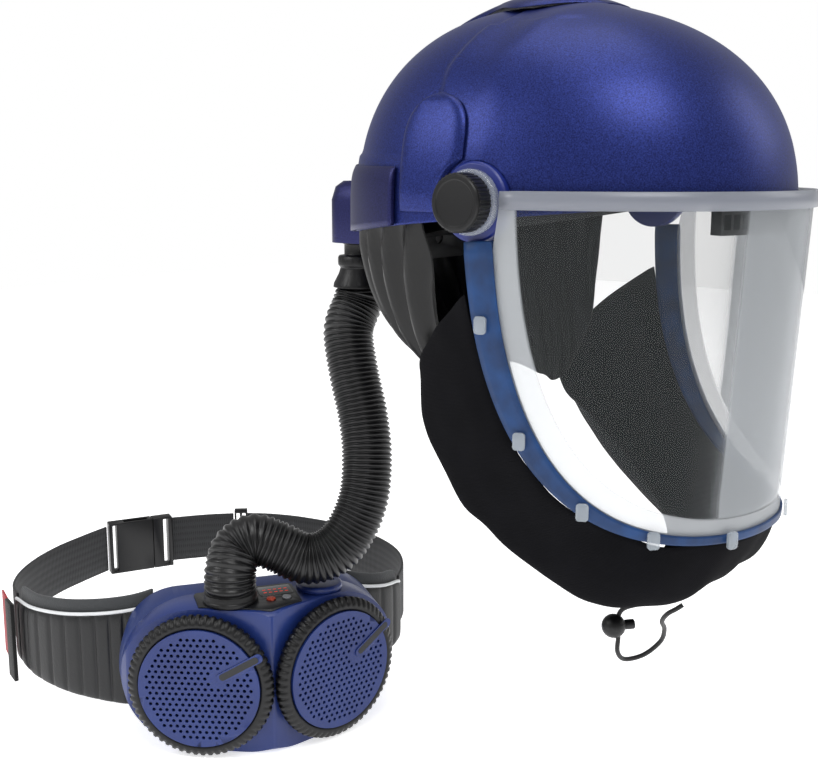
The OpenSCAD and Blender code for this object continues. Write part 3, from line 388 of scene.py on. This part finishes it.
def lacquer(name, dark, bright, roughness):
    """Metal flakes in a tinted coat, which glint where the light meets them."""
    material = finish(
        name, bright, roughness, 0.7, Coat_Weight=0.12, Coat_Roughness=0.3, Specular_IOR_Level=0.4
    )
    place = add(material, "TexCoord").outputs["Object"]
    # The flakes are 0.1 mm in the real lacquer and are drawn at 0.8 mm so that they show
    flake = add(material, "TexNoise", Vector=place, Scale=grains(0.8), Detail=1.0, Roughness=0.6)
    ramp = add(material, "ValToRGB", Fac=flake.outputs["Fac"])
    ramp.color_ramp.elements[0].position = 0.3
    ramp.color_ramp.elements[0].color = hue(dark)
    ramp.color_ramp.elements[1].position = 0.75
    ramp.color_ramp.elements[1].color = hue(bright)
    wire(material, Base_Color=ramp.outputs["Color"])
    peel = add(material, "Bump", Height=flake.outputs["Fac"], Strength=0.12, Distance=0.0002)
    wire(material, Normal=peel.outputs["Normal"])
    return material


shell_lacquer = lacquer("metallic_violet_blue_lacquer", "#131C55", "#2A3A88", 0.42)
shell = cast("helmet_shell", "shell", shell_lacquer, levels=3, angle=40)
# The rear of the dome is recessed behind a swept step and above a low ledge, and a
# soft ridge runs in front of the step. Sizes are in millimetres, depths in metres.
dome_half_w, dome_front, dome_back, dome_top, dome_y = 112, 153, 119, 115.5, 22
dome_power = 2.2
outer_skin = 0.965
rim_z = 15
step_y, step_z, step_lean = 33, 75, 0.35
step_run = 3.0
crown_z, crown_shift = 100, 7
ledge_z, ledge_y, ledge_rise = 22, 60, 0.06
ridge_ahead, ridge_half, ridge_z = 34, 11, 30
step_depth = 0.0016
ridge_height = 0.0011


def share(value):
    """A value held between nothing and the whole."""
    return min(1.0, max(0.0, value))


for v in shell.data.vertices:
    x, y, z = v.co * 1000
    dome_half_l = dome_back if y > dome_y else dome_front
    fullness = (
        (abs(x) / dome_half_w) ** dome_power
        + (abs(y - dome_y) / dome_half_l) ** dome_power
        + (max(0, z) / dome_top) ** dome_power
    )
    if fullness < outer_skin or z < rim_z:
        continue
    lean = 1 if z > step_z else step_lean
    edge = step_y - step_lean * abs(z - step_z) * lean - (crown_shift if z > crown_z else 0)
    behind = share((y - edge) / step_run)
    above = share((z - ledge_z - ledge_rise * max(0.0, y - ledge_y)) / step_run)
    ridge = math.exp(-(((y - edge + ridge_ahead) / ridge_half) ** 2))
    ridge *= share((z - ridge_z) / ridge_z)
    away = Vector((x, y - dome_y, z)).normalized()
    v.co += away * (ridge_height * ridge - step_depth * behind * above)

# ---------------------------------------------------------------- crest, band and ear covers
# Separate mouldings in the same lacquer, clipped on the shell: a crest that
# covers the air duct, a band round the rear and a cover behind each pivot.
crest_lacquer = lacquer("metallic_blue_lacquer_crest", "#11184A", "#243278", 0.42)
cast("crest_cover", "crest", crest_lacquer, levels=2, angle=50)
cast("ear_covers", "ear_shields", shell_lacquer, levels=2, angle=50)
band_lacquer = lacquer("metallic_violet_lacquer_band", "#1A1B44", "#2C2F66", 0.45)
cast("rear_band", "nape_band", band_lacquer, levels=2, angle=50)
cast(
    "inlet_cover", "inlet_shroud", band_lacquer,
    bevel=0.0006, angle=40, quads=False,
)

# ---------------------------------------------------------------- pivots and knobs
# Blue hub on each side of the shell, a clear ring of the visor that turns on
# it, and a ribbed black nylon knob that clamps the ring.
hub_blue = finish("moulded_blue_nylon", "#1B2A78", 0.35)
cast("pivot_seats", "pivot_hubs", hub_blue, bevel=0.0003, quads=False)
black_nylon = finish("spark_textured_black_nylon", "#0B0B0D", 0.4, Specular_IOR_Level=0.4)
place = add(black_nylon, "TexCoord").outputs["Object"]
grain = add(black_nylon, "TexNoise", Vector=place, Scale=grains(0.7), Detail=2.0)
relief = add(black_nylon, "Bump", Height=grain.outputs["Fac"], Strength=0.25, Distance=0.0002)
wire(black_nylon, Normal=relief.outputs["Normal"])
for side in ("right", "left"):
    cast(
        "knob_" + side, "clamp_knob_" + side, black_nylon,
        bevel=0.0002, angle=30, quads=False,
    )
pin_steel = finish("turned_steel", "#A9ABAF", 0.3, 1.0)
cast("pivot_studs", "pivot_pins", pin_steel, bevel=0.0002, quads=False)

# ---------------------------------------------------------------- visor
# Thermoformed clear polycarbonate, 1.5 mm, frosted along its border. Its edge
# sits in a channel of the seal, and a translucent strip stiffens the top.
# The clear field inside the frosted border is a rounded U, in metres
field_front, field_depth, field_drop, field_power = -0.140, 0.112, 0.173, 2.4
lens_clear = finish(
    "clear_polycarbonate", "#E9EEEE", 0.03, IOR=1.585, Specular_IOR_Level=0.6
)
place = add(lens_clear, "TexCoord").outputs["Object"]
axes = add(lens_clear, "SeparateXYZ", Vector=place)
depth, drop = axes.outputs["Y"], axes.outputs["Z"]
for operation, number in (
    ("ADD", -field_front), ("DIVIDE", field_depth), ("MAXIMUM", 0.0), ("POWER", field_power)
):
    depth = add(lens_clear, "Math", {"operation": operation}, _0=depth, _1=number).outputs["Value"]
for operation, number in (("DIVIDE", -field_drop), ("MAXIMUM", 0.0), ("POWER", field_power)):
    drop = add(lens_clear, "Math", {"operation": operation}, _0=drop, _1=number).outputs["Value"]
border = add(lens_clear, "Math", {"operation": "ADD"}, _0=depth, _1=drop)
frost = add(
    lens_clear, "MapRange", {"interpolation_type": "SMOOTHSTEP"},
    Value=border.outputs["Value"], From_Min=0.99, From_Max=1.01,
)
edge_light = add(lens_clear, "Fresnel", IOR=1.45)
clear = add(lens_clear, "MapRange", Value=edge_light.outputs["Fac"], To_Min=0.06, To_Max=0.85)
alpha = add(
    lens_clear, "Mix", {"data_type": "FLOAT"},
    _0=frost.outputs["Result"], _2=clear.outputs["Result"], _3=0.4,
)
matt = add(lens_clear, "MapRange", Value=frost.outputs["Result"], To_Min=0.03, To_Max=0.42)
# The base colour is pale in the frosted border, and it is also lifted towards pale where the lens is
# seen at a glancing angle: that second part is a painted reflection
frost_and_painted_reflection = add(
    lens_clear, "Math", {"operation": "MULTIPLY_ADD"},
    _0=edge_light.outputs["Fac"], _1=5.0, _2=frost.outputs["Result"],
)
lens_colour_and_painted_reflection = add(
    lens_clear, "Mix", {"data_type": "RGBA"},
    _0=frost_and_painted_reflection.outputs["Value"], _6=hue("#3A4242"), _7=hue("#D4D8DC"),
)
wire(
    lens_clear, Base_Color=lens_colour_and_painted_reflection.outputs[2], Alpha=alpha.outputs["Result"],
    Roughness=matt.outputs["Result"],
)
cast("visor_lens", "lens", lens_clear, levels=1, angle=50)

strip_frost = finish("frosted_polycarbonate", "#8B8F99", 0.3, Alpha=0.72, IOR=1.585)
cast("top_strip", "brow_strip", strip_frost, levels=1, angle=50)
ring_clear = finish("clear_acrylic", "#C9D0D8", 0.05, Alpha=0.3, Coat_Weight=0.8)
cast("pivot_rings", "clear_rings", ring_clear, bevel=0.0003, quads=False)

# ---------------------------------------------------------------- face seal and clips
# Moulded blue rubber channel round the U of the visor, held to it by ten clear
# snap-on clips.
seal_rubber = finish("moulded_blue_rubber", "#0F3A78", 0.45, Specular_IOR_Level=0.4)
place = add(seal_rubber, "TexCoord").outputs["Object"]
bloom = add(seal_rubber, "TexNoise", Vector=place, Scale=grains(14), Detail=5.0)
ramp = add(seal_rubber, "ValToRGB", Fac=bloom.outputs["Fac"])
ramp.color_ramp.elements[0].position = 0.35
ramp.color_ramp.elements[0].color = hue("#0A2C56")
ramp.color_ramp.elements[1].position = 0.7
ramp.color_ramp.elements[1].color = hue("#0F3E74")
wire(seal_rubber, Base_Color=ramp.outputs["Color"])
cast("seal_frame", "face_seal", seal_rubber, levels=2, angle=50)
clip_clear = finish("clear_acetal", "#A9B2BA", 0.08, Alpha=0.5, Coat_Weight=1.0)
cast("seal_clips", "snap_clips", clip_clear, bevel=0.0003, quads=False)

# ---------------------------------------------------------------- neck seal
# Bag of black flame-resistant twill, sewn to the rubber seal and gathered by the
# drawcord at the neck.
twill = finish("black_cotton_twill", "#08080A", 0.95, Specular_IOR_Level=0.12)
place = add(twill, "TexCoord").outputs["Object"]
turned = add(twill, "Mapping", Vector=place, Rotation=(0.5, 0.9, 0.3))
# The twill line is 0.7 mm in the real cloth and is drawn at 1.4 mm so that it shows
line = add(
    twill, "TexWave", {"bands_direction": "Z"}, Vector=turned.outputs["Vector"], Scale=waves(1.4)
)
fade = add(twill, "TexNoise", Vector=place, Scale=grains(25), Detail=4.0)
ramp = add(twill, "ValToRGB", Fac=fade.outputs["Fac"])
ramp.color_ramp.elements[0].color = hue("#060608")
ramp.color_ramp.elements[1].color = hue("#101014")
wire(twill, Base_Color=ramp.outputs["Color"])
relief = add(twill, "Bump", Height=line.outputs["Fac"], Strength=0.25, Distance=0.0003)
wire(twill, Normal=relief.outputs["Normal"])


def rumple(cloth, middle, depth, size):
    """Moves a cloth's points in and out in large soft folds and smaller ones."""
    for v in cloth.data.vertices:
        fold = noise.noise(v.co / size) + 0.5 * noise.noise(v.co * 2.1 / size)
        v.co += (v.co - middle).normalized() * (depth * fold)


fold_depth = 0.0035
fold_size = 0.045
bag_middle = Vector((0, -0.03, -0.09))
neck = cast("neck_seal", "neck_bag", twill, levels=2, angle=60)
rumple(neck, bag_middle, fold_depth, fold_size)
# The cloth is taken off its body and rides on none
neck.parent = None
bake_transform(neck)

# ---------------------------------------------------------------- rear cape
# Black satin-weave cloth between the rim of the shell and the neck, gathered in
# loose upright folds by elastic at both edges.
satin = finish("black_satin", "#070708", 0.34, Specular_IOR_Level=0.35)
place = add(satin, "TexCoord").outputs["Object"]
crinkle = add(satin, "TexNoise", Vector=place, Scale=grains(9), Detail=5.0)
relief = add(satin, "Bump", Height=crinkle.outputs["Fac"], Strength=0.35, Distance=0.0012)
wire(satin, Normal=relief.outputs["Normal"])
cape_foot = 0.150
cape_middle_y = 0.02
hem_flat = 0.03
folds_round = 26
fold_depth = 0.0042
sway_depth = 0.003
cape = cast("rear_cape", "nape_cape", satin, levels=3, angle=60)
for v in cape.data.vertices:
    turn = math.atan2(v.co.x, v.co.y - cape_middle_y)
    loose = share(-v.co.z / hem_flat) * share((v.co.z + cape_foot) / hem_flat)
    away = Vector((v.co.x, v.co.y - cape_middle_y, 0)).normalized()
    sway = noise.noise(Vector((turn * 2.0, v.co.z * 14, 0.3)))
    fold = math.sin(turn * folds_round + 5 * sway + v.co.z * 30)
    v.co += away * (fold_depth * loose * fold + sway_depth * sway * loose)

# ---------------------------------------------------------------- cord lock
# Black acetal ball with a spring plunger; the drawcord runs through both.
cast("cord_lock_body", "cord_lock", black_nylon, angle=40, quads=False)
cast(
    "cord_lock_plunger", "cord_lock_button", black_nylon,
    bevel=0.0002, angle=40, quads=False,
)

# ---------------------------------------------------------------- liner and harness
# Black foam liner, polyethylene headband with a ratchet, woven crown straps and a
# padded brow band, all clipped inside the shell.
liner_foam = finish("black_expanded_foam", "#0F0F11", 0.9)
place = add(liner_foam, "TexCoord").outputs["Object"]
beads = add(liner_foam, "TexVoronoi", Vector=place, Scale=grains(3))
relief = add(liner_foam, "Bump", Height=beads.outputs["Distance"], Strength=0.4, Distance=0.0005)
wire(liner_foam, Normal=relief.outputs["Normal"])
cast("impact_liner", "foam_liner", liner_foam, levels=1, angle=50)
band_plastic = finish("moulded_black_polyethylene", "#0D0D0F", 0.5)
place = add(band_plastic, "TexCoord").outputs["Object"]
grain = add(band_plastic, "TexNoise", Vector=place, Scale=grains(1.2), Detail=2.0)
relief = add(band_plastic, "Bump", Height=grain.outputs["Fac"], Strength=0.2, Distance=0.0003)
wire(band_plastic, Normal=relief.outputs["Normal"])
cast("headband", "head_ring", band_plastic, levels=1, angle=50)
strap_weave = finish("woven_black_polyester", "#0C0C0E", 0.8, Sheen_Weight=0.2)
place = add(strap_weave, "TexCoord").outputs["Object"]
weft = add(strap_weave, "TexWave", {"bands_direction": "DIAGONAL"}, Vector=place, Scale=waves(1.5))
relief = add(strap_weave, "Bump", Height=weft.outputs["Fac"], Strength=0.5, Distance=0.0003)
wire(strap_weave, Normal=relief.outputs["Normal"])
cast("crown_straps", "crown_webbing", strap_weave, levels=1, angle=50)
brow = cast("brow_pad", "sweat_band", strap_weave, levels=2, angle=120)
for node in ("ratchet_housing", "ratchet_knob", "brow_vent"):
    cast(
        node, "moulded_" + node, band_plastic,
        bevel=0.0004, angle=35, quads=False,
    )
cast("air_duct", "crown_duct", band_plastic, levels=1, angle=50)

# ---------------------------------------------------------------- hose fittings
# Moulded black fittings: the bell that the hose screws into under the inlet, and
# the collar that it screws onto at the blower.
for node in ("inlet_bell", "hose_spout"):
    cast(node, "moulded_" + node, black_nylon, bevel=0.0004, angle=35, quads=False)

# ---------------------------------------------------------------- blower housing
# Two glass-filled nylon mouldings, coloured in the mass and finely textured, that
# meet on a flat joint; the rear one carries the belt and the battery.
def textured_nylon(name, colour, light, roughness):
    """Fine spark texture, a little paler where it is worn."""
    material = finish(name, colour, roughness, Specular_IOR_Level=0.45)
    place = add(material, "TexCoord").outputs["Object"]
    spark = add(material, "TexNoise", Vector=place, Scale=grains(0.8), Detail=2.0)
    wear = add(material, "TexNoise", Vector=place, Scale=grains(40), Detail=5.0)
    ramp = add(material, "ValToRGB", Fac=wear.outputs["Fac"])
    ramp.color_ramp.elements[0].position = 0.3
    ramp.color_ramp.elements[0].color = hue(colour)
    ramp.color_ramp.elements[1].position = 0.75
    ramp.color_ramp.elements[1].color = hue(light)
    relief = add(material, "Bump", Height=spark.outputs["Fac"], Strength=0.22, Distance=0.0002)
    wire(material, Base_Color=ramp.outputs["Color"])
    wire(material, Normal=relief.outputs["Normal"])
    return material


blower_nylon = textured_nylon("textured_blue_nylon", "#1B2C68", "#24397A", 0.32)
rear_nylon = textured_nylon("textured_blue_nylon_rear", "#1C2C60", "#223670", 0.4)
for node, name, nylon, slot, edge, angle in (
    ("front_housing", "blower_front", blower_nylon, "blower_blue", 0.0008, 40),
    ("rear_housing", "blower_rear", rear_nylon, "blower_blue_rear", 0.0008, 40),
    ("battery_pack", "battery_case", rear_nylon, "blower_blue_rear", 0.0008, 40),
    ("battery_latch", "battery_catch", black_nylon, "harness_plastic", 0.0003, 40),
    ("port_cap", "side_port_cap", blower_nylon, "blower_blue", 0.0004, 35),
):
    cast(node, name, nylon, bevel=edge, angle=angle, quads=False)

# ---------------------------------------------------------------- filters
# Each filter is a black nylon cup with a knurled rim, a pleated paper pack with a
# dark mesh over it, and a perforated blue cover that pulls off.
for side in ("right", "left"):
    cast(
        "filter_cover_" + side, "perforated_cover_" + side, blower_nylon,
        angle=30, quads=False,
    )
mesh_black = finish("black_prefilter_foam", "#08080A", 0.95)
place = add(mesh_black, "TexCoord").outputs["Object"]
cells = add(mesh_black, "TexVoronoi", Vector=place, Scale=grains(1.2))
relief = add(mesh_black, "Bump", Height=cells.outputs["Distance"], Strength=0.6, Distance=0.0004)
wire(mesh_black, Normal=relief.outputs["Normal"])
for side in ("right", "left"):
    cast(
        "filter_media_" + side, "filter_pack_" + side, mesh_black,
        bevel=0.0005, quads=False,
    )

blower_x, blower_y, blower_z = -102, 172, -329
blower_turn = math.radians(-33.7)


def from_blower(x, y, z=0.0):
    """A point that is given in millimetres from the middle of the blower."""
    c, s = math.cos(blower_turn), math.sin(blower_turn)
    return Vector(
        (
            (blower_x + x * c - y * s) / 1000,
            (blower_y + x * s + y * c) / 1000,
            (blower_z + z) / 1000,
        )
    )


def loft(name, loops, closed_ends=True):
    """A skin over closed loops of points, with its distances in metres as UV."""
    mesh = bmesh.new()
    uv = mesh.loops.layers.uv.new("along")
    rows = [[mesh.verts.new(p) for p in loop] for loop in loops]
    n = len(loops[0])
    s = 0.0
    for i in range(len(rows) - 1):
        ahead = (Vector(loops[i + 1][0]) - Vector(loops[i][0])).length
        v = 0.0
        for j in range(n):
            k = (j + 1) % n
            across = (Vector(loops[i][k]) - Vector(loops[i][j])).length
            patch = mesh.faces.new((rows[i][j], rows[i][k], rows[i + 1][k], rows[i + 1][j]))
            patch.smooth = True
            corners = ((s, v), (s, v + across), (s + ahead, v + across), (s + ahead, v))
            for loop, corner in zip(patch.loops, corners):
                loop[uv].uv = corner
            v += across
        s += ahead
    if closed_ends:
        mesh.faces.new(rows[0][::-1])
        mesh.faces.new(rows[-1])
    return settle(name, mesh)


tab_tilt = math.radians(30)
filter_splay = math.radians(23.3)
filter_aside = 50


def on_filter(sign, along, across, out):
    """A point on a filter's face: along and across its tab, and out of the face."""
    tab, splay = tab_tilt, sign * filter_splay
    u = along * math.cos(tab) - across * math.sin(tab)
    v = along * math.sin(tab) + across * math.cos(tab)
    return from_blower(
        sign * filter_aside + u * math.cos(splay) + out * math.sin(splay),
        u * math.sin(splay) - out * math.cos(splay),
        v,
    )


# The cup's outline is its radius and its height out of the face, in millimetres:
# a domed rim, a wall that seats in the housing, and a neck that the air leaves by
cup_profile = (
    (42.3, -3.2), (42.3, -1.8), (42.9, -1.1), (44.4, -0.8), (46.0, -0.9), (47.8, -1.7),
    (49.4, -2.8), (50.5, -4.2), (51.0, -6.0), (50.6, -8.0), (49.6, -10.0), (47.0, -13.0),
    (38.0, -13.0), (38.0, -30.0), (20.0, -30.0), (20.0, -38.0), (17.0, -38.0),
    (17.0, -27.5), (35.5, -27.5), (35.5, -3.2),
)
rim_notches = 60
notch_shape = (0.0, 0.0, 0.0, 0.7, 1.0, 1.0, 0.7, 0.0)
notch_depth = 1.3
notch_from, notch_run = 45.0, 2.5
cup_points = rim_notches * len(notch_shape)
for side, sign in (("right", -1), ("left", 1)):
    rings = []
    for r, out in cup_profile + cup_profile[:1]:
        ring = []
        for k in range(cup_points):
            a = 2 * math.pi * k / cup_points
            groove = notch_shape[k % len(notch_shape)] * share((r - notch_from) / notch_run)
            deep = r - notch_depth * groove
            ring.append(on_filter(sign, deep * math.cos(a), deep * math.sin(a), out))
        rings.append(ring)
    cup = loft("filter_cup_" + side, rings, closed_ends=False)
    bpy.ops.object.mode_set(mode="EDIT")
    bpy.ops.mesh.select_all(action="SELECT")
    bpy.ops.mesh.remove_doubles(threshold=0.00001)
    bpy.ops.mesh.normals_make_consistent(inside=False)
    bpy.ops.object.mode_set(mode="OBJECT")
    bpy.ops.object.shade_smooth_by_angle(angle=math.radians(40))
    cup.data.materials.append(black_nylon)
    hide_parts("canister_" + side)
    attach(cup, "filter_" + side)

# A blank dark plate lies on each tab; the maker's lettering on it is left out
plate_r = 2.3
plate_ends = ((45.5, -90), (19.5, 90))
plate_low, plate_high = 0.7, 1.05
plate_dark = finish("blank_dark_label", "#0C0E14", 0.3)
for side, sign in (("right", -1), ("left", 1)):
    loops = []
    for out in (plate_low, plate_high):
        loop = []
        for end, start in plate_ends:
            for k in range(9):
                a = math.radians(start + 22.5 * k)
                loop.append(
                    on_filter(sign, end + plate_r * math.cos(a), plate_r * math.sin(a), out)
                )
        loops.append(loop)
    plate = loft("blank_label_" + side, loops)
    plate.data.materials.append(plate_dark)
    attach(plate, "filter_cover_" + side)

# ---------------------------------------------------------------- control panel
# Dark membrane panel on top of the blower with two domed keys and a small
# window, behind which red segments light up.
panel_film = finish("dark_gray_polyester_film", "#1A1B1E", 0.4)
place = add(panel_film, "TexCoord").outputs["Object"]
grain = add(panel_film, "TexNoise", Vector=place, Scale=grains(0.6))
relief = add(panel_film, "Bump", Height=grain.outputs["Fac"], Strength=0.15, Distance=0.0001)
wire(panel_film, Normal=relief.outputs["Normal"])
cast("top_panel", "membrane_panel", panel_film, bevel=0.0002, quads=False)
window_film = finish("smoked_window_film", "#101113", 0.12, Coat_Weight=0.5)
cast("display_window", "smoked_window", window_film, bevel=0.0002, quads=False)
lamp_red = finish(
    "lit_red_segments", "#D8321E", 0.4, Emission_Strength=0.8, Emission_Color=hue("#D8321E")
)
segment_x, segment_y, segment_low, segment_top = 2.4, 27.6, 52.5, 52.7
segment_pitch, row_pitch = 3.8, 5.2
segment_half_w, segment_half_d = 1.1, 0.4
for row in range(2):
    for k in range(5):
        x, y = segment_x + segment_pitch * k, segment_y + row_pitch * row
        corners = [
            (x + a * segment_half_w, y + b * segment_half_d)
            for a, b in ((-1, -1), (1, -1), (1, 1), (-1, 1))
        ]
        loops = [[from_blower(*c, z) for c in corners] for z in (segment_low, segment_top)]
        lamp = loft("lit_segment_%d_%d" % (row, k), loops)
        lamp.data.materials.append(lamp_red)
        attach(lamp, "frame")
key_red = finish("red_silicone", "#B8452F", 0.5)
cast("power_button", "power_key", key_red, quads=False)
key_gray = finish("gray_silicone", "#8D8F94", 0.5)
cast("flow_button", "flow_key", key_gray, quads=False)

# ---------------------------------------------------------------- fan and board
# Hidden in the rear housing: a scroll round a backward-curved impeller, its
# motor, and the control board beside them.
dark_pbt = finish("dark_glass_filled_nylon", "#232427", 0.5)
for node in ("fan_scroll", "impeller"):
    cast(node, "moulded_" + node, dark_pbt, quads=False, angle=30)
can_steel = finish("zinc_plated_steel", "#8F9297", 0.35, 1.0)
cast("fan_motor", "motor_can", can_steel, quads=False, angle=30)
board_mask = finish("green_solder_mask", "#1E5A38", 0.4)
cast("control_board", "circuit_board", board_mask, quads=False, angle=30)


# ---------------------------------------------------------------- comfort pads
# Laminated foam pads that spread the load at the waist: a gray felted backing, a
# black quilted face in upright channels, and white piping along the top.
pad_points = 28
edge_round = 0.55
top_round = 0.3


def rounded(value, power):
    """A power that keeps the sign, for the corners of a cushion's section."""
    return math.copysign(abs(value) ** power, value)


def ahead_of(path, i):
    """The direction of a path at one of its points."""
    return (path[min(len(path) - 1, i + 1)] - path[max(0, i - 1)]).normalized()


def pad_layer(name, route, low, high, heights, shift, bulge=0.0, slats=0, columns=160, lift=0.0):
    """A cushion layer between two distances from the pad's middle line."""
    path = curve_points([(x, y, 0) for x, y in route], columns)
    loops = []
    for i, p in enumerate(path):
        f = i / (columns - 1)
        ahead = ahead_of(path, i)
        inward = Vector((ahead.y, -ahead.x, 0)) * shift
        tall = heights[0] + (heights[1] - heights[0]) * f
        end = min(1.0, 0.25 + min(f, 1 - f) * columns / 6) ** 0.5
        puff = bulge * (1 - abs(2 * ((f * slats) % 1) - 1) ** 5) if slats else 0.0
        loop = []
        for k in range(pad_points):
            a = 2 * math.pi * k / pad_points
            c, s = math.cos(a), math.sin(a)
            w = (low + high) / 2 + (high - low) / 2 * rounded(c, edge_round) * end
            if c > 0:
                w += puff * abs(c)
            z = lift + tall / 2 * rounded(s, top_round) * (0.97 + 0.03 * end)
            q = p + inward * w
            loop.append(from_blower(q.x, q.y, z))
        loops.append(loop)
    return loft(name, loops)


felt = finish("gray_felted_foam", "#3E4042", 0.95, Sheen_Weight=0.2)
place = add(felt, "TexCoord").outputs["Object"]
fibre = add(felt, "TexNoise", Vector=place, Scale=grains(1.5), Detail=6.0)
relief = add(felt, "Bump", Height=fibre.outputs["Fac"], Strength=0.6, Distance=0.0006)
wire(felt, Normal=relief.outputs["Normal"])
quilt = finish("black_coated_fabric", "#0F1012", 0.45)
place = add(quilt, "TexCoord").outputs["Object"]
hide = add(quilt, "TexVoronoi", Vector=place, Scale=grains(1.6))
relief = add(quilt, "Bump", Height=hide.outputs["Distance"], Strength=0.3, Distance=0.0003)
wire(quilt, Normal=relief.outputs["Normal"])
piping = finish("white_reflective_piping", "#E4E6E8", 0.35)
blower_back = 72
pad_t = 11
pad_y = blower_back + pad_t / 2 + 1
backing_near, backing_far = 91.5, 56
backing_from, backing_to = -0.6, 5.4
face_near, face_far = 80, backing_far - 9
face_from, face_to = 0.4, 4.2
face_lift = -4.5
slat_bulge = 1.8
slat_columns = 16
piping_r = 0.0013
piping_out, piping_drop = 3.2, 4.2
piping_points, piping_sides, piping_step = 60, 12, 0.002
for side, route, slats in (
    (
        "right",
        ((-70, pad_y), (-86, pad_y + 1), (-108, 88), (-132, 105), (-152, 132), (-163, 164)),
        12,
    ),
    ("left", ((70, pad_y), (86, pad_y + 1), (106, 89), (124, 108)), 5),
):
    out = -1 if side == "right" else 1
    backing = pad_layer(
        "pad_backing_" + side, route, backing_from, backing_to,
        (backing_near, backing_far), -out,
    )
    backing.data.materials.append(felt)
    cover = pad_layer(
        "pad_face_" + side, route, face_from, face_to, (face_near, face_far), out,
        slat_bulge, slats, slat_columns * slats, face_lift,
    )
    cover.data.materials.append(quilt)
    path = curve_points([(x, y, 0) for x, y in route], piping_points)
    line = []
    for i, p in enumerate(path):
        ahead = ahead_of(path, i)
        q = p + Vector((ahead.y, -ahead.x, 0)) * (piping_out * out)
        tall = face_near + (face_far - face_near) * i / (piping_points - 1)
        line.append(from_blower(q.x, q.y, tall / 2 - piping_drop))
    trim = sweep(
        "pad_piping_" + side, line, lambda s: piping_r, piping_sides, piping_step
    )
    trim.data.materials.append(piping)
    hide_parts("comfort_pad_" + side)
    for piece in (backing, cover, trim):
        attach(piece, "frame")

# ---------------------------------------------------------------- belt
# 42 mm woven polyester webbing in dark gray with a side-release buckle and a
# sliding adjuster, both in black acetal.
webbing = finish("woven_gray_polyester", "#1C1D1F", 0.8, Sheen_Weight=0.12)
along = add(webbing, "UVMap", {"uv_map": "along"})
# The weft is 1 mm in the real webbing and is drawn at 2 mm so that it shows
weft = add(
    webbing, "TexWave", {"bands_direction": "X"}, Vector=along.outputs["UV"], Scale=waves(2.0)
)
warp = add(
    webbing, "TexWave", {"bands_direction": "Y"}, Vector=along.outputs["UV"], Scale=waves(6.0)
)
both = add(
    webbing, "Math", {"operation": "ADD"}, _0=weft.outputs["Fac"], _1=warp.outputs["Fac"]
)
relief = add(webbing, "Bump", Height=both.outputs["Value"], Strength=0.5, Distance=0.0004)
wire(webbing, Normal=relief.outputs["Normal"])
ramp = add(webbing, "ValToRGB", Fac=both.outputs["Value"])
ramp.color_ramp.elements[0].color = hue("#151517")
ramp.color_ramp.elements[1].color = hue("#2A2B2D")
wire(webbing, Base_Color=ramp.outputs["Color"])


webbing_w = 42
webbing_t = 2
# Half of the webbing's section, as shares of its half thickness and half width
selvedge = ((-0.6, -1), (-1, -0.97), (-1, -0.5), (-1, 0), (-1, 0.5), (-1, 0.97), (-0.6, 1))


def ribbon(name, route, width, thick, columns):
    """A flat strap on its edge along a route round the waist."""
    path = curve_points([(x, y, 0) for x, y in route], columns)
    section = selvedge + tuple((-w, -z) for w, z in selvedge)
    loops = []
    for i, p in enumerate(path):
        ahead = ahead_of(path, i)
        side = Vector((ahead.y, -ahead.x, 0)) * thick / 2
        loops.append([from_blower(*(p + side * w).xy, z * width / 2) for w, z in section])
    return loft(name, loops)


right_route = (
    (-165, 170), (-168, 192), (-163, 220), (-150, 250), (-131, 278), (-108, 302), (-88, 321),
)
left_route = (
    (44, 323), (66, 313), (92, 293), (120, 260), (140, 218), (147, 178), (141, 142), (128, 114),
)
buckle_route = ((-27, 331), (-10, 331), (10, 330), (31, 326.5))
for name, node, route, body, columns in (
    ("webbing_right", "belt_webbing", right_route, "frame", 80),
    ("webbing_left", "belt_webbing", left_route, "frame", 100),
    ("webbing_buckle", "plug_webbing", buckle_route, "buckle_plug", 30),
):
    strap = ribbon(name, route, webbing_w, webbing_t, columns)
    strap.data.materials.append(webbing)
    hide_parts(node)
    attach(strap, body)
for node in ("buckle_socket", "buckle_plug", "buckle_prong_upper", "buckle_prong_lower", "tri_glide"):
    cast(node, "acetal_" + node, black_nylon, bevel=0.0006, angle=40, quads=False)
tag_red = finish("red_woven_tape", "#A0121F", 0.7, Sheen_Weight=0.1)
cast("belt_tag", "woven_tag", tag_red, bevel=0.0003, quads=False)
hook_black = finish("black_hook_and_loop", "#0A0A0B", 0.95, Sheen_Weight=0.15)
place = add(hook_black, "TexCoord").outputs["Object"]
hooks = add(hook_black, "TexNoise", Vector=place, Scale=grains(1.0), Detail=4.0)
relief = add(hook_black, "Bump", Height=hooks.outputs["Fac"], Strength=0.8, Distance=0.0006)
wire(hook_black, Normal=relief.outputs["Normal"])
cast("strap_end", "hook_strap_end", hook_black, bevel=0.0006, quads=False)
